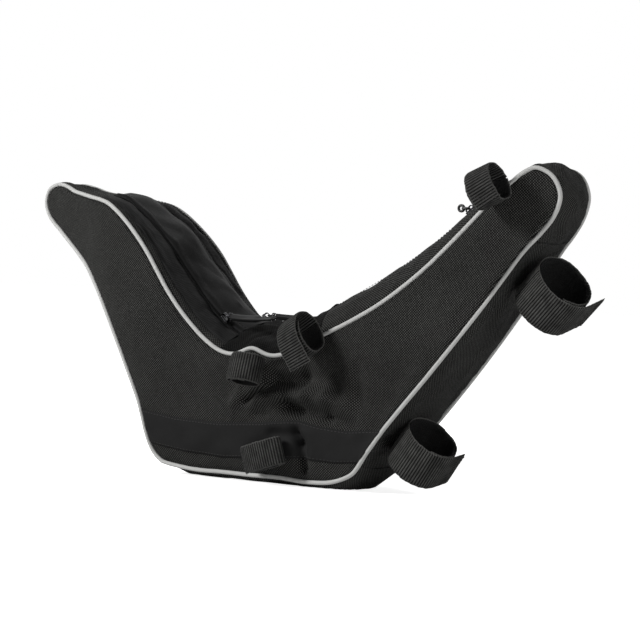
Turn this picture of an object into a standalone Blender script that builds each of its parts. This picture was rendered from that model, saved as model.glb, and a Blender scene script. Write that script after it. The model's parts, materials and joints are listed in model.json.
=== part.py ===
"""Frame bag for a bicycle: a V-shaped zipped bag with piping, three zips and six strap loops.

Units are metres. +X points to the front of the bicycle, +Z is up, and the bag's middle plane is y = 0.
The right side of the bag is at -Y. It stands on its flat bottom, which lies at z = 0.
"""
import math

import bmesh
import bpy
from mathutils import Matrix, Vector

# Clearances
GAP = 0.0003
SEAM_ROOM = 0.0006

# The seam line where side panel and gusset meet, seen from the side, once round the bag.
# Each point holds x, z, the bag's half width there, and how far the gusset bulges out there.
TOP_OF_TAIL = [
    (-0.2880, 0.2640, 0.0170, 0.0030),
    (-0.2620, 0.2575, 0.0250, 0.0040),
    (-0.2290, 0.2520, 0.0390, 0.0060),
]
LID_EDGE = [
    (-0.1990, 0.2460, 0.0500, 0.0080),
    (-0.1760, 0.2310, 0.0535, 0.0095),
    (-0.1470, 0.2030, 0.0565, 0.0140),
    (-0.1210, 0.1680, 0.0567, 0.0190),
    (-0.0930, 0.1390, 0.0565, 0.0210),
    (-0.0600, 0.1170, 0.0560, 0.0220),
]
SADDLE = [
    (-0.0300, 0.1125, 0.0552, 0.0240),
    (0.0060, 0.1170, 0.0530, 0.0270),
]
FRONT_TOP = [
    (0.0440, 0.1350, 0.0500, 0.0290),
    (0.1010, 0.1660, 0.0452, 0.0290),
    (0.1460, 0.2005, 0.0422, 0.0250),
    (0.1890, 0.2430, 0.0384, 0.0180),
]
NOSE = [
    (0.2200, 0.2730, 0.0350, 0.0090),
    (0.2400, 0.2855, 0.0310, 0.0050),
    (0.2525, 0.2800, 0.0277, 0.0040),
    (0.2610, 0.2620, 0.0255, 0.0040),
    (0.2565, 0.2460, 0.0265, 0.0040),
]
FRONT_EDGE = [
    (0.2350, 0.2186, 0.0324, 0.0030),
    (0.2000, 0.1705, 0.0374, 0.0030),
    (0.1470, 0.1034, 0.0422, 0.0030),
    (0.1060, 0.0550, 0.0430, 0.0035),
    (0.0880, 0.0330, 0.0400, 0.0040),
]
BOTTOM_EDGE = [
    (0.0750, 0.0165, 0.0380, 0.0070),
    (0.0560, 0.0080, 0.0380, 0.0130),
    (0.0000, 0.0070, 0.0430, 0.0130),
    (-0.0650, 0.0070, 0.0452, 0.0130),
    (-0.0980, 0.0075, 0.0457, 0.0130),
    (-0.1200, 0.0135, 0.0465, 0.0070),
]
REAR_EDGE = [
    (-0.1350, 0.0250, 0.0485, 0.0050),
    (-0.1430, 0.0390, 0.0515, 0.0045),
    (-0.1510, 0.0640, 0.0550, 0.0045),
    (-0.1660, 0.0930, 0.0547, 0.0045),
    (-0.1875, 0.1290, 0.0518, 0.0045),
    (-0.2090, 0.1600, 0.0465, 0.0045),
    (-0.2350, 0.1880, 0.0369, 0.0040),
]
TAIL = [
    (-0.2580, 0.2035, 0.0280, 0.0035),
    (-0.2850, 0.2210, 0.0190, 0.0030),
    (-0.3000, 0.2330, 0.0160, 0.0030),
    (-0.3060, 0.2460, 0.0150, 0.0030),
    (-0.3020, 0.2590, 0.0150, 0.0030),
]
STRETCHES = [TOP_OF_TAIL, LID_EDGE, SADDLE, FRONT_TOP, NOSE, FRONT_EDGE, BOTTOM_EDGE, REAR_EDGE, TAIL]
STEPS_PER_POINT = 2

# Places on the seam line, counted in its points
LID_START = 2.5
LID_END = 8.0
FRONT_ZIP_START = 11.0
FRONT_ZIP_END = 14.3
NOSE_TIP = 19.5
FRONT_GUSSET_START = 19.75
FRONT_GUSSET_END = 24.5
BOTTOM_GUSSET_END = 30.5
TAIL_GUSSET_START = 37.5
TAIL_TIP = 41.0
LID_SLIDER_PLACE = 7.3
FRONT_SLIDER_PLACE = 13.75

# Walls
PIPING_RADIUS = 0.0022
PIPING_SIDES = 6
GUSSET_WALL = 0.0020
GUSSET_RIM_RISE = 0.0008
GUSSET_COLUMNS = 6
PANEL_WALL = 0.0040
PANEL_RISE = 0.0008
PANEL_PILLOW = 0.0060
PILLOW_SPAN = 0.0800
PANEL_ROWS = 6
FOAM_WALL = 0.0030
FOAM_RUNGS_IN = 3
LID_TIP_ROOM = 0.0010
BAND_ROOM = 0.0005
BAND_WALL = 0.0010
BAND_TOP = 0.0560
BAND_BOTTOM = 0.0240
BASE_BOARD_LENGTH = 0.1400
BASE_BOARD_WIDTH = 0.0460
BASE_BOARD_WALL = 0.0025
BASE_BOARD_X = -0.0230

# Zips. A lid zip runs at this share of the half width, and the front zip runs down the middle.
LID_ZIP_SHARE = 0.55
ZIP_WIDTH = 0.0070
ZIP_WALL = 0.0020
ZIP_RISE = 0.0004

# Sliders and their pulls
SLIDER_LENGTH = 0.0100
SLIDER_WIDTH = 0.0062
SLIDER_HEIGHT = 0.0026
SLIDER_ROOM = 0.0007
SLIDER_BEVEL = 0.0008
BAIL_HEIGHT = 0.0034
BAIL_WALL = 0.0009
BAIL_WIDTH = 0.0016
BAIL_SPAN = 0.0080
BAIL_TOP_SPAN = 0.0056
WIRE_RADIUS = 0.0007
WIRE_SIDES = 6
WIRE_RISE = 0.0014
WIRE_HALF_WIDTH = 0.0022
WIRE_CORNER = 0.0013
WIRE_LENGTH = 0.0070
PULL_TUBE_LENGTH = 0.0500
PULL_TUBE_RADIUS = 0.0030
PULL_TUBE_END_RADIUS = 0.0021
PULL_TUBE_SIDES = 8
RING_RADIUS = 0.0032
RING_SIDES = 10
# How far along the seam line, and across the bag, the slope of the gusset is read
SLOPE_STEP = 0.02

# Webbing and the loops made of it
WEB_WALL = 0.0018
HOOK_WALL = 0.0008
WIDE_WEB = 0.0380
NARROW_WEB = 0.0250
HOOK_WIDTH_SHARE = 0.9
RING_STEPS = 20
FLAP_STEPS = 14
PAD_STEPS = 6
RAMP = math.radians(30.0)
# An oval holds: half size away from the bag, half size across, the flap's way round, the angle where the
# flap starts, the angles at which the flap and the ring end, and the length of the flap's free tail.
FRONT_TOP_OVAL = (0.0145, 0.0175, 1.0, 25.0, 200.0, 215.0, 0.0130)
MIDDLE_TOP_OVAL = (0.0155, 0.0205, 1.0, 25.0, 200.0, 215.0, 0.0200)
UPPER_DOWN_OVAL = (0.0265, 0.0275, -1.0, 50.0, 160.0, 235.0, 0.0170)
LOWER_DOWN_OVAL = (0.0240, 0.0255, -1.0, 50.0, 160.0, 235.0, 0.0140)
UPPER_LOOP_OVAL = (0.0130, 0.0150, -1.0, 45.0, 250.0, 215.0, 0.0060)
LOWER_LOOP_OVAL = (0.0080, 0.0205, -1.0, 45.0, 250.0, 215.0, 0.0060)
# Name, place on the seam line, upward lean in degrees, lift off the piping, oval
TOP_STRAPS = [
    ("top_strap_front", 14.70, 10.0, 0.0006, FRONT_TOP_OVAL),
    ("top_strap_middle", 10.85, 12.0, 0.0008, MIDDLE_TOP_OVAL),
]
# Name, place on the seam line, share of the half width, lift off the gusset, oval
DOWN_STRAPS = [
    ("down_strap_upper", 20.40, 0.0, 0.0004, UPPER_DOWN_OVAL),
    ("down_strap_lower", 22.95, -0.26, 0.0003, LOWER_DOWN_OVAL),
]
SIDE_LOOPS = [
    ("side_loop_upper", (-0.0160, -0.0564, 0.1030), (0.0, 0.0, 1.0), UPPER_LOOP_OVAL),
    ("side_loop_lower", (-0.0055, -0.0515, 0.0275), (-0.31, 0.0, 0.95), LOWER_LOOP_OVAL),
]


def clear_scene():
    """Removes whatever the file holds."""
    for item in list(bpy.data.objects):
        bpy.data.objects.remove(item, do_unlink=True)


def material(name, colour, roughness, metallic=0.0):
    """A plain Principled material, made once."""
    made = bpy.data.materials.get(name)
    if made is None:
        made = bpy.data.materials.new(name)
        made.use_nodes = True
        shader = made.node_tree.nodes["Principled BSDF"]
        shader.inputs["Base Color"].default_value = (*colour, 1.0)
        shader.inputs["Roughness"].default_value = roughness
        shader.inputs["Metallic"].default_value = metallic
    return made


def woven_black():
    return material("woven_black", (0.020, 0.020, 0.019), 0.85)


def smooth_black():
    return material("smooth_black", (0.015, 0.015, 0.015), 0.55)


def webbing_black():
    return material("webbing_black", (0.017, 0.017, 0.016), 0.80)


def piping_grey():
    return material("piping_grey", (0.56, 0.56, 0.55), 0.60)


def foam_grey():
    return material("foam_grey", (0.10, 0.10, 0.10), 0.90)


def board_black():
    return material("board_black", (0.03, 0.03, 0.03), 0.50)


def zip_black():
    return material("zip_black", (0.012, 0.012, 0.012), 0.45)


def gunmetal():
    return material("gunmetal", (0.22, 0.22, 0.22), 0.35, 1.0)


def rubber_black():
    return material("rubber_black", (0.02, 0.02, 0.02), 0.50)


def add_object(name, bm, look, origin=Vector((0.0, 0.0, 0.0)), sharp_angle=40.0):
    """Turns a bmesh given in world places into an object whose origin is on a chosen point."""
    bmesh.ops.recalc_face_normals(bm, faces=bm.faces)
    mesh = bpy.data.meshes.new(name)
    bm.to_mesh(mesh)
    bm.free()
    mesh.transform(Matrix.Translation(-origin))
    mesh.materials.append(look)
    mesh.shade_smooth()
    mesh.set_sharp_from_angle(angle=math.radians(sharp_angle))
    item = bpy.data.objects.new(name, mesh)
    item.location = origin
    bpy.context.collection.objects.link(item)
    return item


class SeamPoint:
    """A place on the seam line: where it is, which way it runs, and the bag's size there."""

    def __init__(self, values, slope):
        self.place = Vector((values[0], 0.0, values[1]))
        self.half = values[2]
        self.crown = values[3]
        self.along = Vector((slope[0], 0.0, slope[1])).normalized()
        self.out = Vector((-self.along.z, 0.0, self.along.x))
        self.speed = math.hypot(slope[0], slope[1])


POINTS = [point for stretch in STRETCHES for point in stretch]


def knot_slope(index, span):
    """The slope of the seam line at one of its points, for a curve piece of the given length."""
    before, here, after = (POINTS[(index + step) % len(POINTS)] for step in (-1, 0, 1))
    back = math.dist(before[:2], here[:2])
    ahead = math.dist(here[:2], after[:2])
    slopes = []
    for low, middle, high in zip(before, here, after):
        slope = ((middle - low) / back * ahead + (high - middle) / ahead * back) / (back + ahead)
        slopes.append(slope * span)
    return slopes


def seam(position):
    """The seam point at a position counted in points of the seam line."""
    index = math.floor(position)
    u = position - index
    start = POINTS[index % len(POINTS)]
    end = POINTS[(index + 1) % len(POINTS)]
    span = math.dist(start[:2], end[:2])
    leave = knot_slope(index, span)
    arrive = knot_slope(index + 1, span)
    values = []
    slopes = []
    for a, b, m, n in zip(start, end, leave, arrive):
        values.append(
            a * (2 * u**3 - 3 * u**2 + 1)
            + m * (u**3 - 2 * u**2 + u)
            + b * (3 * u**2 - 2 * u**3)
            + n * (u**3 - u**2)
        )
        slopes.append(
            a * (6 * u**2 - 6 * u)
            + m * (3 * u**2 - 4 * u + 1)
            + b * (6 * u - 6 * u**2)
            + n * (3 * u**2 - 2 * u)
        )
    return SeamPoint(values, slopes)


def positions_between(start, end):
    """Seam positions from start to end, drawn in a little so that neighbours keep their gap."""
    step = 1.0 / STEPS_PER_POINT
    first = start + 0.5 * GAP / seam(start).speed
    last = end - 0.5 * GAP / seam(end).speed
    inner = [k * step for k in range(math.floor(start / step) + 1, math.ceil(end / step))]
    inner = [p for p in inner if first + 0.3 * step < p < last - 0.3 * step]
    return [first] + inner + [last]


def shell(bm, outer, inner):
    """One closed body between two grids of points of the same size."""
    rows = len(outer)
    columns = len(outer[0])
    sheets = [[[bm.verts.new(point) for point in row] for row in grid] for grid in (outer, inner)]
    for sheet in sheets:
        for i in range(rows - 1):
            for j in range(columns - 1):
                bm.faces.new((sheet[i][j], sheet[i + 1][j], sheet[i + 1][j + 1], sheet[i][j + 1]))
    rim = [(i, 0) for i in range(rows)]
    rim += [(rows - 1, j) for j in range(1, columns)]
    rim += [(i, columns - 1) for i in range(rows - 2, -1, -1)]
    rim += [(0, j) for j in range(columns - 2, 0, -1)]
    for (i, j), (k, m) in zip(rim, rim[1:] + rim[:1]):
        bm.faces.new((sheets[0][i][j], sheets[0][k][m], sheets[1][k][m], sheets[1][i][j]))


def circle(centre, across, up, radius, sides, offset=0.0):
    """Points evenly round a circle. offset turns them by that share of a step."""
    turns = [2.0 * math.pi * (n + offset) / sides for n in range(sides)]
    return [centre + radius * (across * math.cos(a) + up * math.sin(a)) for a in turns]


def tube(bm, points, radius, sides, closed=False, side_hint=Vector((0.0, 1.0, 0.0))):
    """One closed body swept along points, whose cross-sections stand square to the path."""
    rings = []
    count = len(points)
    for k, point in enumerate(points):
        before = points[(k - 1) % count] if closed or k > 0 else point
        after = points[(k + 1) % count] if closed or k < count - 1 else point
        along = (after - before).normalized()
        across = (side_hint - along * side_hint.dot(along)).normalized()
        places = circle(point, across, along.cross(across), radius, sides, 0.5)
        rings.append([bm.verts.new(place) for place in places])
    pairs = list(zip(rings, rings[1:]))
    if closed:
        pairs.append((rings[-1], rings[0]))
    for one, two in pairs:
        for n in range(sides):
            bm.faces.new((one[n], one[(n + 1) % sides], two[(n + 1) % sides], two[n]))
    if not closed:
        bm.faces.new(rings[0])
        bm.faces.new(rings[-1])


def gusset_point(point, across, rise):
    """A point on the gusset's outer face. across is its y, and rise its height over that face."""
    share = across / point.half
    height = GUSSET_RIM_RISE + rise + point.crown * (1.0 - share * share)
    place = point.place + point.out * height + Vector((0.0, across, 0.0))
    place.z = max(place.z, 0.0)
    return place


def gusset_strip(name, start, end, low, high, columns, look, rise=0.0, wall=GUSSET_WALL, origin=None):
    """A strip of the gusset. low and high give its edges' y from a seam point."""
    outer = []
    inner = []
    for position in positions_between(start, end):
        point = seam(position)
        edges = [low(point) + (high(point) - low(point)) * k / columns for k in range(columns + 1)]
        row = [gusset_point(point, across, rise) for across in edges]
        outer.append(row)
        inner.append([place - point.out * wall for place in row])
    bm = bmesh.new()
    shell(bm, outer, inner)
    return add_object(name, bm, look, origin or Vector((0.0, 0.0, 0.0)))


def rim(point):
    """The y of the gusset's edge beside the piping."""
    return point.half - PIPING_RADIUS - SEAM_ROOM


def zip_inner(point):
    return LID_ZIP_SHARE * point.half - 0.5 * ZIP_WIDTH


def zip_outer(point):
    return LID_ZIP_SHARE * point.half + 0.5 * ZIP_WIDTH


def piping(name, side):
    """The welt along the seam line, one closed loop."""
    count = len(POINTS) * STEPS_PER_POINT
    points = [seam(k / STEPS_PER_POINT) for k in range(count)]
    bm = bmesh.new()
    path = [point.place + Vector((0.0, side * point.half, 0.0)) for point in points]
    tube(bm, path, PIPING_RADIUS, PIPING_SIDES, closed=True)
    return add_object(name, bm, piping_grey())


def panel_grid(side, depth):
    """Points of a side panel's face: rungs from its top edge to its bottom edge, tail to nose."""
    inset = PIPING_RADIUS + SEAM_ROOM
    rungs = round((TAIL_TIP - NOSE_TIP) * STEPS_PER_POINT)
    grid = []
    for k in range(rungs + 1):
        top = seam(TAIL_TIP + k / STEPS_PER_POINT)
        bottom = seam(TAIL_TIP - k / STEPS_PER_POINT)
        high = top.place - top.out * inset
        low = bottom.place - bottom.out * inset
        fullness = min(1.0, (high - low).length / PILLOW_SPAN)
        row = []
        for j in range(PANEL_ROWS + 1):
            down = j / PANEL_ROWS
            half = top.half + (bottom.half - top.half) * down
            pillow = PANEL_PILLOW * fullness * math.sin(math.pi * down)
            place = high.lerp(low, down)
            place.y = side * (half + PANEL_RISE + pillow - depth)
            row.append(place)
        grid.append(row)
    return grid


def weld(bm):
    """Joins the points that coincide at the tips."""
    bmesh.ops.remove_doubles(bm, verts=bm.verts, dist=1e-5)


def side_panel(name, side):
    bm = bmesh.new()
    shell(bm, panel_grid(side, 0.0), panel_grid(side, PANEL_WALL))
    weld(bm)
    return add_object(name, bm, woven_black())


def foam_board(name, side):
    """The padding behind a side panel, one row and a few rungs smaller than it all round."""
    grids = []
    for depth in (PANEL_WALL + GAP, PANEL_WALL + GAP + FOAM_WALL):
        grid = panel_grid(side, depth)[FOAM_RUNGS_IN:-FOAM_RUNGS_IN]
        grids.append([row[1:-1] for row in grid])
    bm = bmesh.new()
    shell(bm, *grids)
    return add_object(name, bm, foam_grey())


def lower_band(name, side):
    """The smooth band sewn across the lower part of a side panel."""
    bm = bmesh.new()
    grid = panel_grid(side, -BAND_ROOM)
    sheet = [[bm.verts.new(place) for place in row] for row in grid]
    for i in range(len(sheet) - 1):
        for j in range(PANEL_ROWS):
            bm.faces.new((sheet[i][j], sheet[i + 1][j], sheet[i + 1][j + 1], sheet[i][j + 1]))
    weld(bm)
    for height, facing in ((BAND_TOP, 1.0), (BAND_BOTTOM, -1.0)):
        bmesh.ops.bisect_plane(
            bm,
            geom=bm.verts[:] + bm.edges[:] + bm.faces[:],
            plane_co=(0.0, 0.0, height),
            plane_no=(0.0, 0.0, facing),
            clear_outer=True,
        )
    grown = bmesh.ops.extrude_face_region(bm, geom=bm.faces[:])
    moved = [part for part in grown["geom"] if isinstance(part, bmesh.types.BMVert)]
    bmesh.ops.translate(bm, verts=moved, vec=(0.0, side * BAND_WALL, 0.0))
    return add_object(name, bm, smooth_black())


def base_board():
    """The stiffener that lies on the bottom inside the bag."""
    bm = bmesh.new()
    bmesh.ops.create_cube(bm, size=1.0)
    size = Vector((BASE_BOARD_LENGTH, BASE_BOARD_WIDTH, BASE_BOARD_WALL))
    bmesh.ops.scale(bm, vec=size, verts=bm.verts)
    height = GUSSET_WALL + GAP + 0.5 * BASE_BOARD_WALL
    bmesh.ops.translate(bm, vec=(BASE_BOARD_X, 0.0, height), verts=bm.verts)
    return add_object("base_board", bm, board_black())


def face_point(position, share):
    """The gusset's outer face at a seam position, share of the half width away from the middle."""
    point = seam(position)
    return gusset_point(point, share * point.half, 0.0)


class Perch:
    """A place on the gusset's outer face with the directions along, across and away from it."""

    def __init__(self, position, share):
        self.place = face_point(position, share)
        ahead = face_point(position + SLOPE_STEP, share) - face_point(position - SLOPE_STEP, share)
        across = face_point(position, share + SLOPE_STEP) - face_point(position, share - SLOPE_STEP)
        self.along = ahead.normalized()
        self.out = ahead.cross(across).normalized()
        self.side = self.out.cross(self.along)


def slider(name, perch, origin):
    """A zip slider: a bevelled body under an arched bail."""
    frame = Matrix((perch.along, perch.side, perch.out)).transposed().to_4x4()
    frame.translation = perch.place + perch.out * (ZIP_RISE + SLIDER_ROOM)
    body = bmesh.new()
    bmesh.ops.create_cube(body, size=1.0)
    bmesh.ops.scale(body, vec=(SLIDER_LENGTH, SLIDER_WIDTH, SLIDER_HEIGHT), verts=body.verts)
    bmesh.ops.translate(body, vec=(0.0, 0.0, 0.5 * SLIDER_HEIGHT), verts=body.verts)
    bmesh.ops.bevel(body, geom=body.edges[:], offset=SLIDER_BEVEL, segments=1, affect="EDGES")
    bmesh.ops.transform(body, matrix=frame, verts=body.verts)
    item = add_object(name, body, gunmetal(), origin)
    arch = bmesh.new()
    rise = SLIDER_HEIGHT + BAIL_HEIGHT
    foot = SLIDER_HEIGHT - 0.5 * SLIDER_BEVEL
    half = 0.5 * BAIL_SPAN
    shoulder = 0.5 * BAIL_TOP_SPAN
    low_line = [(-half + BAIL_WALL, foot), (-shoulder + 0.5 * BAIL_WALL, rise - BAIL_WALL),
                (shoulder - 0.5 * BAIL_WALL, rise - BAIL_WALL), (half - BAIL_WALL, foot)]
    high_line = [(-half, foot), (-shoulder, rise), (shoulder, rise), (half, foot)]
    sides = (-0.5 * BAIL_WIDTH, 0.5 * BAIL_WIDTH)
    grids = [[[frame @ Vector((x, y, z)) for y in sides] for x, z in line] for line in (high_line, low_line)]
    shell(arch, *grids)
    bail = add_object(name + "_bail", arch, gunmetal(), origin)
    bail.hide_render = True
    bail.display_type = "WIRE"
    union = item.modifiers.new("bail", "BOOLEAN")
    union.operation = "UNION"
    union.object = bail
    return item


def bail_centre(perch):
    """Where a pull's wire turns under a slider's bail."""
    return perch.place + perch.out * (ZIP_RISE + SLIDER_ROOM + SLIDER_HEIGHT + WIRE_RISE)


def level(perch, way):
    """The nearly level direction in which a pull lies, square to the axis that it turns on."""
    forward = Vector((way, 0.0, 0.0))
    return (forward - perch.side * forward.dot(perch.side)).normalized()


def pull_wire(name, turn, pull, side):
    """The wire from under the bail to a pull: a U in the plane of pull and side."""
    half = WIRE_HALF_WIDTH
    flat = [(WIRE_LENGTH, -half), (WIRE_CORNER, -half), (0.0, WIRE_CORNER - half)]
    flat += [(x, -y) for x, y in reversed(flat)]
    bm = bmesh.new()
    path = [turn + pull * x + side * y for x, y in flat]
    tube(bm, path, WIRE_RADIUS, WIRE_SIDES, side_hint=pull.cross(side))
    return add_object(name, bm, gunmetal(), turn)


def pull_tube(name, turn, pull, across):
    """The long soft pull, a rod with rounded ends."""
    start = WIRE_LENGTH + GAP
    round_end = 0.5 * PULL_TUBE_RADIUS
    stations = [
        (start, PULL_TUBE_END_RADIUS),
        (start + round_end, PULL_TUBE_RADIUS),
        (start + PULL_TUBE_LENGTH - round_end, PULL_TUBE_RADIUS),
        (start + PULL_TUBE_LENGTH, PULL_TUBE_END_RADIUS),
    ]
    up = pull.cross(across)
    bm = bmesh.new()
    rings = []
    sides = PULL_TUBE_SIDES
    for distance, radius in stations:
        places = circle(turn + pull * distance, across, up, radius, sides)
        rings.append([bm.verts.new(place) for place in places])
    for one, two in zip(rings, rings[1:]):
        for n in range(sides):
            bm.faces.new((one[n], one[(n + 1) % sides], two[(n + 1) % sides], two[n]))
    bm.faces.new(rings[0])
    bm.faces.new(rings[-1])
    return add_object(name, bm, rubber_black(), turn)


def pull_ring(name, turn, pull):
    """A ring that hangs in the far end of the wire, standing upright."""
    centre = turn + pull * (WIRE_LENGTH + RING_RADIUS - 3.0 * WIRE_RADIUS)
    path = circle(centre, pull, Vector((0.0, 0.0, 1.0)), RING_RADIUS, RING_SIDES)
    bm = bmesh.new()
    tube(bm, path, WIRE_RADIUS, WIRE_SIDES, closed=True)
    return add_object(name, bm, gunmetal(), turn)


def link_wire(name, turn, pull, side):
    """A closed wire link from under the bail to the ring."""
    half = WIRE_HALF_WIDTH
    corner = WIRE_CORNER
    end = WIRE_LENGTH
    flat = [(0.0, corner - half), (0.0, half - corner), (corner, half), (end - corner, half)]
    flat += [(end, half - corner), (end, corner - half), (end - corner, -half), (corner, -half)]
    bm = bmesh.new()
    path = [turn + pull * x + side * y for x, y in flat]
    tube(bm, path, WIRE_RADIUS, WIRE_SIDES, closed=True, side_hint=pull.cross(side))
    return add_object(name, bm, gunmetal(), turn)


def steps_between(start, end, count):
    return [start + (end - start) * k / count for k in range(count + 1)]


class Loop:
    """A strap loop: an oval of webbing that stands on a surface.

    root is the point where it touches, axis runs through the loop, and out leads away from the surface.
    reach and spread are the oval's half sizes, away from the surface and across it. turn is 1.0 or -1.0,
    the way round that the flap goes. base is where the flap starts. Angles are in degrees from the root.
    """

    def __init__(self, name, root, axis, out, width, reach, spread, turn, base, flap_end, ring_end, tail):
        self.name = name
        self.out = out.normalized()
        self.axis = (axis - self.out * axis.dot(self.out)).normalized()
        self.across = self.out.cross(self.axis) * turn
        self.root = root + self.out * (GAP + 0.5 * WEB_WALL)
        self.width = width
        self.reach = reach
        self.spread = spread
        self.base = math.radians(base)
        self.flap_end = math.radians(flap_end)
        self.ring_end = math.radians(ring_end)
        self.tail = tail

    def spot(self, angle, depth=0.0):
        """The point at an angle on the oval's middle line, moved inwards by depth."""
        sine = math.sin(angle)
        cosine = math.cos(angle)
        flat = Vector((self.spread * sine, self.reach * (1.0 - cosine)))
        normal = Vector((self.reach * sine, -self.spread * cosine)).normalized()
        flat -= normal * depth
        return self.root + self.across * flat.x + self.out * flat.y

    def heading(self, angle):
        """The direction of the oval at an angle, the way that angles grow."""
        flat = Vector((self.spread * math.cos(angle), self.reach * math.sin(angle))).normalized()
        return self.across * flat.x + self.out * flat.y

    def band(self, name, stations, wall, width, tail=0.0):
        """A strip of webbing along the oval. Each station is an angle and the depth of the strip's middle."""
        lines = []
        for face in (-0.5 * wall, 0.5 * wall):
            line = [self.spot(angle, depth + face) for angle, depth in stations]
            if tail:
                line.append(line[-1] + self.heading(stations[-1][0]) * tail)
            lines.append(line)
        half = self.axis * 0.5 * width
        bm = bmesh.new()
        shell(bm, *[[[place - half, place + half] for place in line] for line in lines])
        return add_object(name, bm, webbing_black(), self.hinge())

    def hinge(self):
        """The fold line where the flap starts, on the webbing's outer face."""
        return self.spot(self.base, -0.5 * WEB_WALL)

    def build(self):
        """The fixed ring, the flap that closes it, and the hook pad under the flap's end."""
        overlap_depth = WEB_WALL + HOOK_WALL + 2.0 * GAP
        lift = GAP / min(self.reach, self.spread)
        ring = []
        for angle in steps_between(self.base, -self.ring_end, RING_STEPS):
            share = min(1.0, max(0.0, -angle - self.base) / RAMP)
            ring.append((angle, overlap_depth * share))
        self.band(self.name + "_ring", ring, WEB_WALL, self.width)
        flap = [(angle, 0.0) for angle in steps_between(self.base + 1.5 * lift, self.flap_end, FLAP_STEPS)]
        self.band(self.name + "_flap", flap, WEB_WALL, self.width, self.tail)
        start = 2.0 * math.pi - self.ring_end + 2.0 * lift
        depth = 0.5 * (WEB_WALL + HOOK_WALL) + GAP
        pad = [(angle, depth) for angle in steps_between(start, self.flap_end, PAD_STEPS)]
        self.band(self.name + "_hook_pad", pad, HOOK_WALL, HOOK_WIDTH_SHARE * self.width)


def top_straps():
    """The two narrow loops that stand out over the right piping of the front arm."""
    made = []
    for name, position, lean, lift, oval in TOP_STRAPS:
        point = seam(position)
        slant = math.radians(lean)
        out = Vector((0.0, -math.cos(slant), 0.0)) + point.out * math.sin(slant)
        root = point.place + Vector((0.0, -point.half, 0.0)) + out * (PIPING_RADIUS + lift)
        made.append(Loop(name, root, point.along, out, NARROW_WEB, *oval))
    return made


def down_straps():
    """The two wide loops on the front gusset."""
    made = []
    for name, position, share, lift, oval in DOWN_STRAPS:
        perch = Perch(position, share)
        root = perch.place + perch.out * lift
        made.append(Loop(name, root, perch.along, perch.out, WIDE_WEB, *oval))
    return made


def side_loops():
    """The two narrow loops on the right side panel, above and below."""
    outward = Vector((0.0, -1.0, 0.0))
    return [
        Loop(name, Vector(root), Vector(axis), outward, NARROW_WEB, *oval)
        for name, root, axis, oval in SIDE_LOOPS
    ]


def build_shell():
    """The bag's body: panels, piping, gusset strips, padding and the stiffener."""
    for label, side in (("right", -1.0), ("left", 1.0)):
        side_panel("side_panel_" + label, side)
        foam_board("foam_board_" + label, side)
        lower_band("lower_band_" + label, side)
        piping("piping_" + label, side)
    base_board()
    full = len(POINTS)
    strips = [
        ("saddle_gusset", LID_END, FRONT_ZIP_START),
        ("nose_gusset", FRONT_ZIP_END, FRONT_GUSSET_START),
        ("front_gusset", FRONT_GUSSET_START, FRONT_GUSSET_END),
        ("bottom_gusset", FRONT_GUSSET_END, BOTTOM_GUSSET_END),
        ("rear_gusset", BOTTOM_GUSSET_END, TAIL_GUSSET_START),
        ("tail_gusset", TAIL_GUSSET_START, full + LID_START),
    ]
    for name, start, end in strips:
        gusset_strip(name, start, end, lambda p: -rim(p), rim, GUSSET_COLUMNS, woven_black())


def build_top_openings():
    """The lid with its rim strips and zips, and the front zip between its two strips."""
    hinge = gusset_point(seam(LID_START), 0.0, 0.0)
    tip = LID_END - LID_TIP_ROOM / seam(LID_END).speed
    gusset_strip("lid_panel", LID_START, tip, lambda p: GAP - zip_inner(p), lambda p: zip_inner(p) - GAP,
                 GUSSET_COLUMNS, smooth_black(), origin=hinge)
    half_zip = 0.5 * ZIP_WIDTH
    gusset_strip("front_zip_chain", FRONT_ZIP_START, FRONT_ZIP_END, lambda p: -half_zip, lambda p: half_zip,
                 2, zip_black(), rise=ZIP_RISE, wall=ZIP_WALL)
    for label, side in (("right", -1.0), ("left", 1.0)):
        gusset_strip("lid_rim_" + label, LID_START, LID_END, lambda p: side * (zip_outer(p) + GAP),
                     lambda p: side * rim(p), 3, woven_black())
        gusset_strip("lid_zip_chain_" + label, LID_START, LID_END, lambda p: side * zip_inner(p),
                     lambda p: side * zip_outer(p), 2, zip_black(), rise=ZIP_RISE, wall=ZIP_WALL)
        gusset_strip("top_gusset_" + label, FRONT_ZIP_START, FRONT_ZIP_END,
                     lambda p: side * (half_zip + GAP), lambda p: side * rim(p), 4, woven_black())


def build_sliders():
    """A slider on each zip, with the long pulls on the lid's zips and a ring on the front one."""
    for label, side in (("right", -1.0), ("left", 1.0)):
        perch = Perch(LID_SLIDER_PLACE, side * LID_ZIP_SHARE)
        turn = bail_centre(perch)
        pull = level(perch, 1.0)
        slider("lid_slider_" + label, perch, turn)
        pull_wire("lid_pull_wire_" + label, turn, pull, perch.side)
        pull_tube("lid_pull_tube_" + label, turn, pull, perch.side)
    perch = Perch(FRONT_SLIDER_PLACE, 0.0)
    turn = bail_centre(perch)
    pull = level(perch, -1.0)
    slider("front_slider", perch, turn)
    link_wire("front_pull_link", turn, pull, perch.side)
    pull_ring("front_pull_ring", turn, pull)


def main():
    clear_scene()
    build_shell()
    build_top_openings()
    build_sliders()
    for loop in top_straps() + down_straps() + side_loops():
        loop.build()


main()
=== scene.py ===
"""Looks of the bicycle frame bag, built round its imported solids.

Every length is in metres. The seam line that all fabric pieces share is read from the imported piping, and
places on it are counted in points, as in the part's own source. A share is a distance from the bag's
middle plane, over the bag's half width there.
"""
import json
import math

import bmesh
import bpy
import numpy as np
from mathutils import Matrix, Vector
from mathutils.bvhtree import BVHTree


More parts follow.
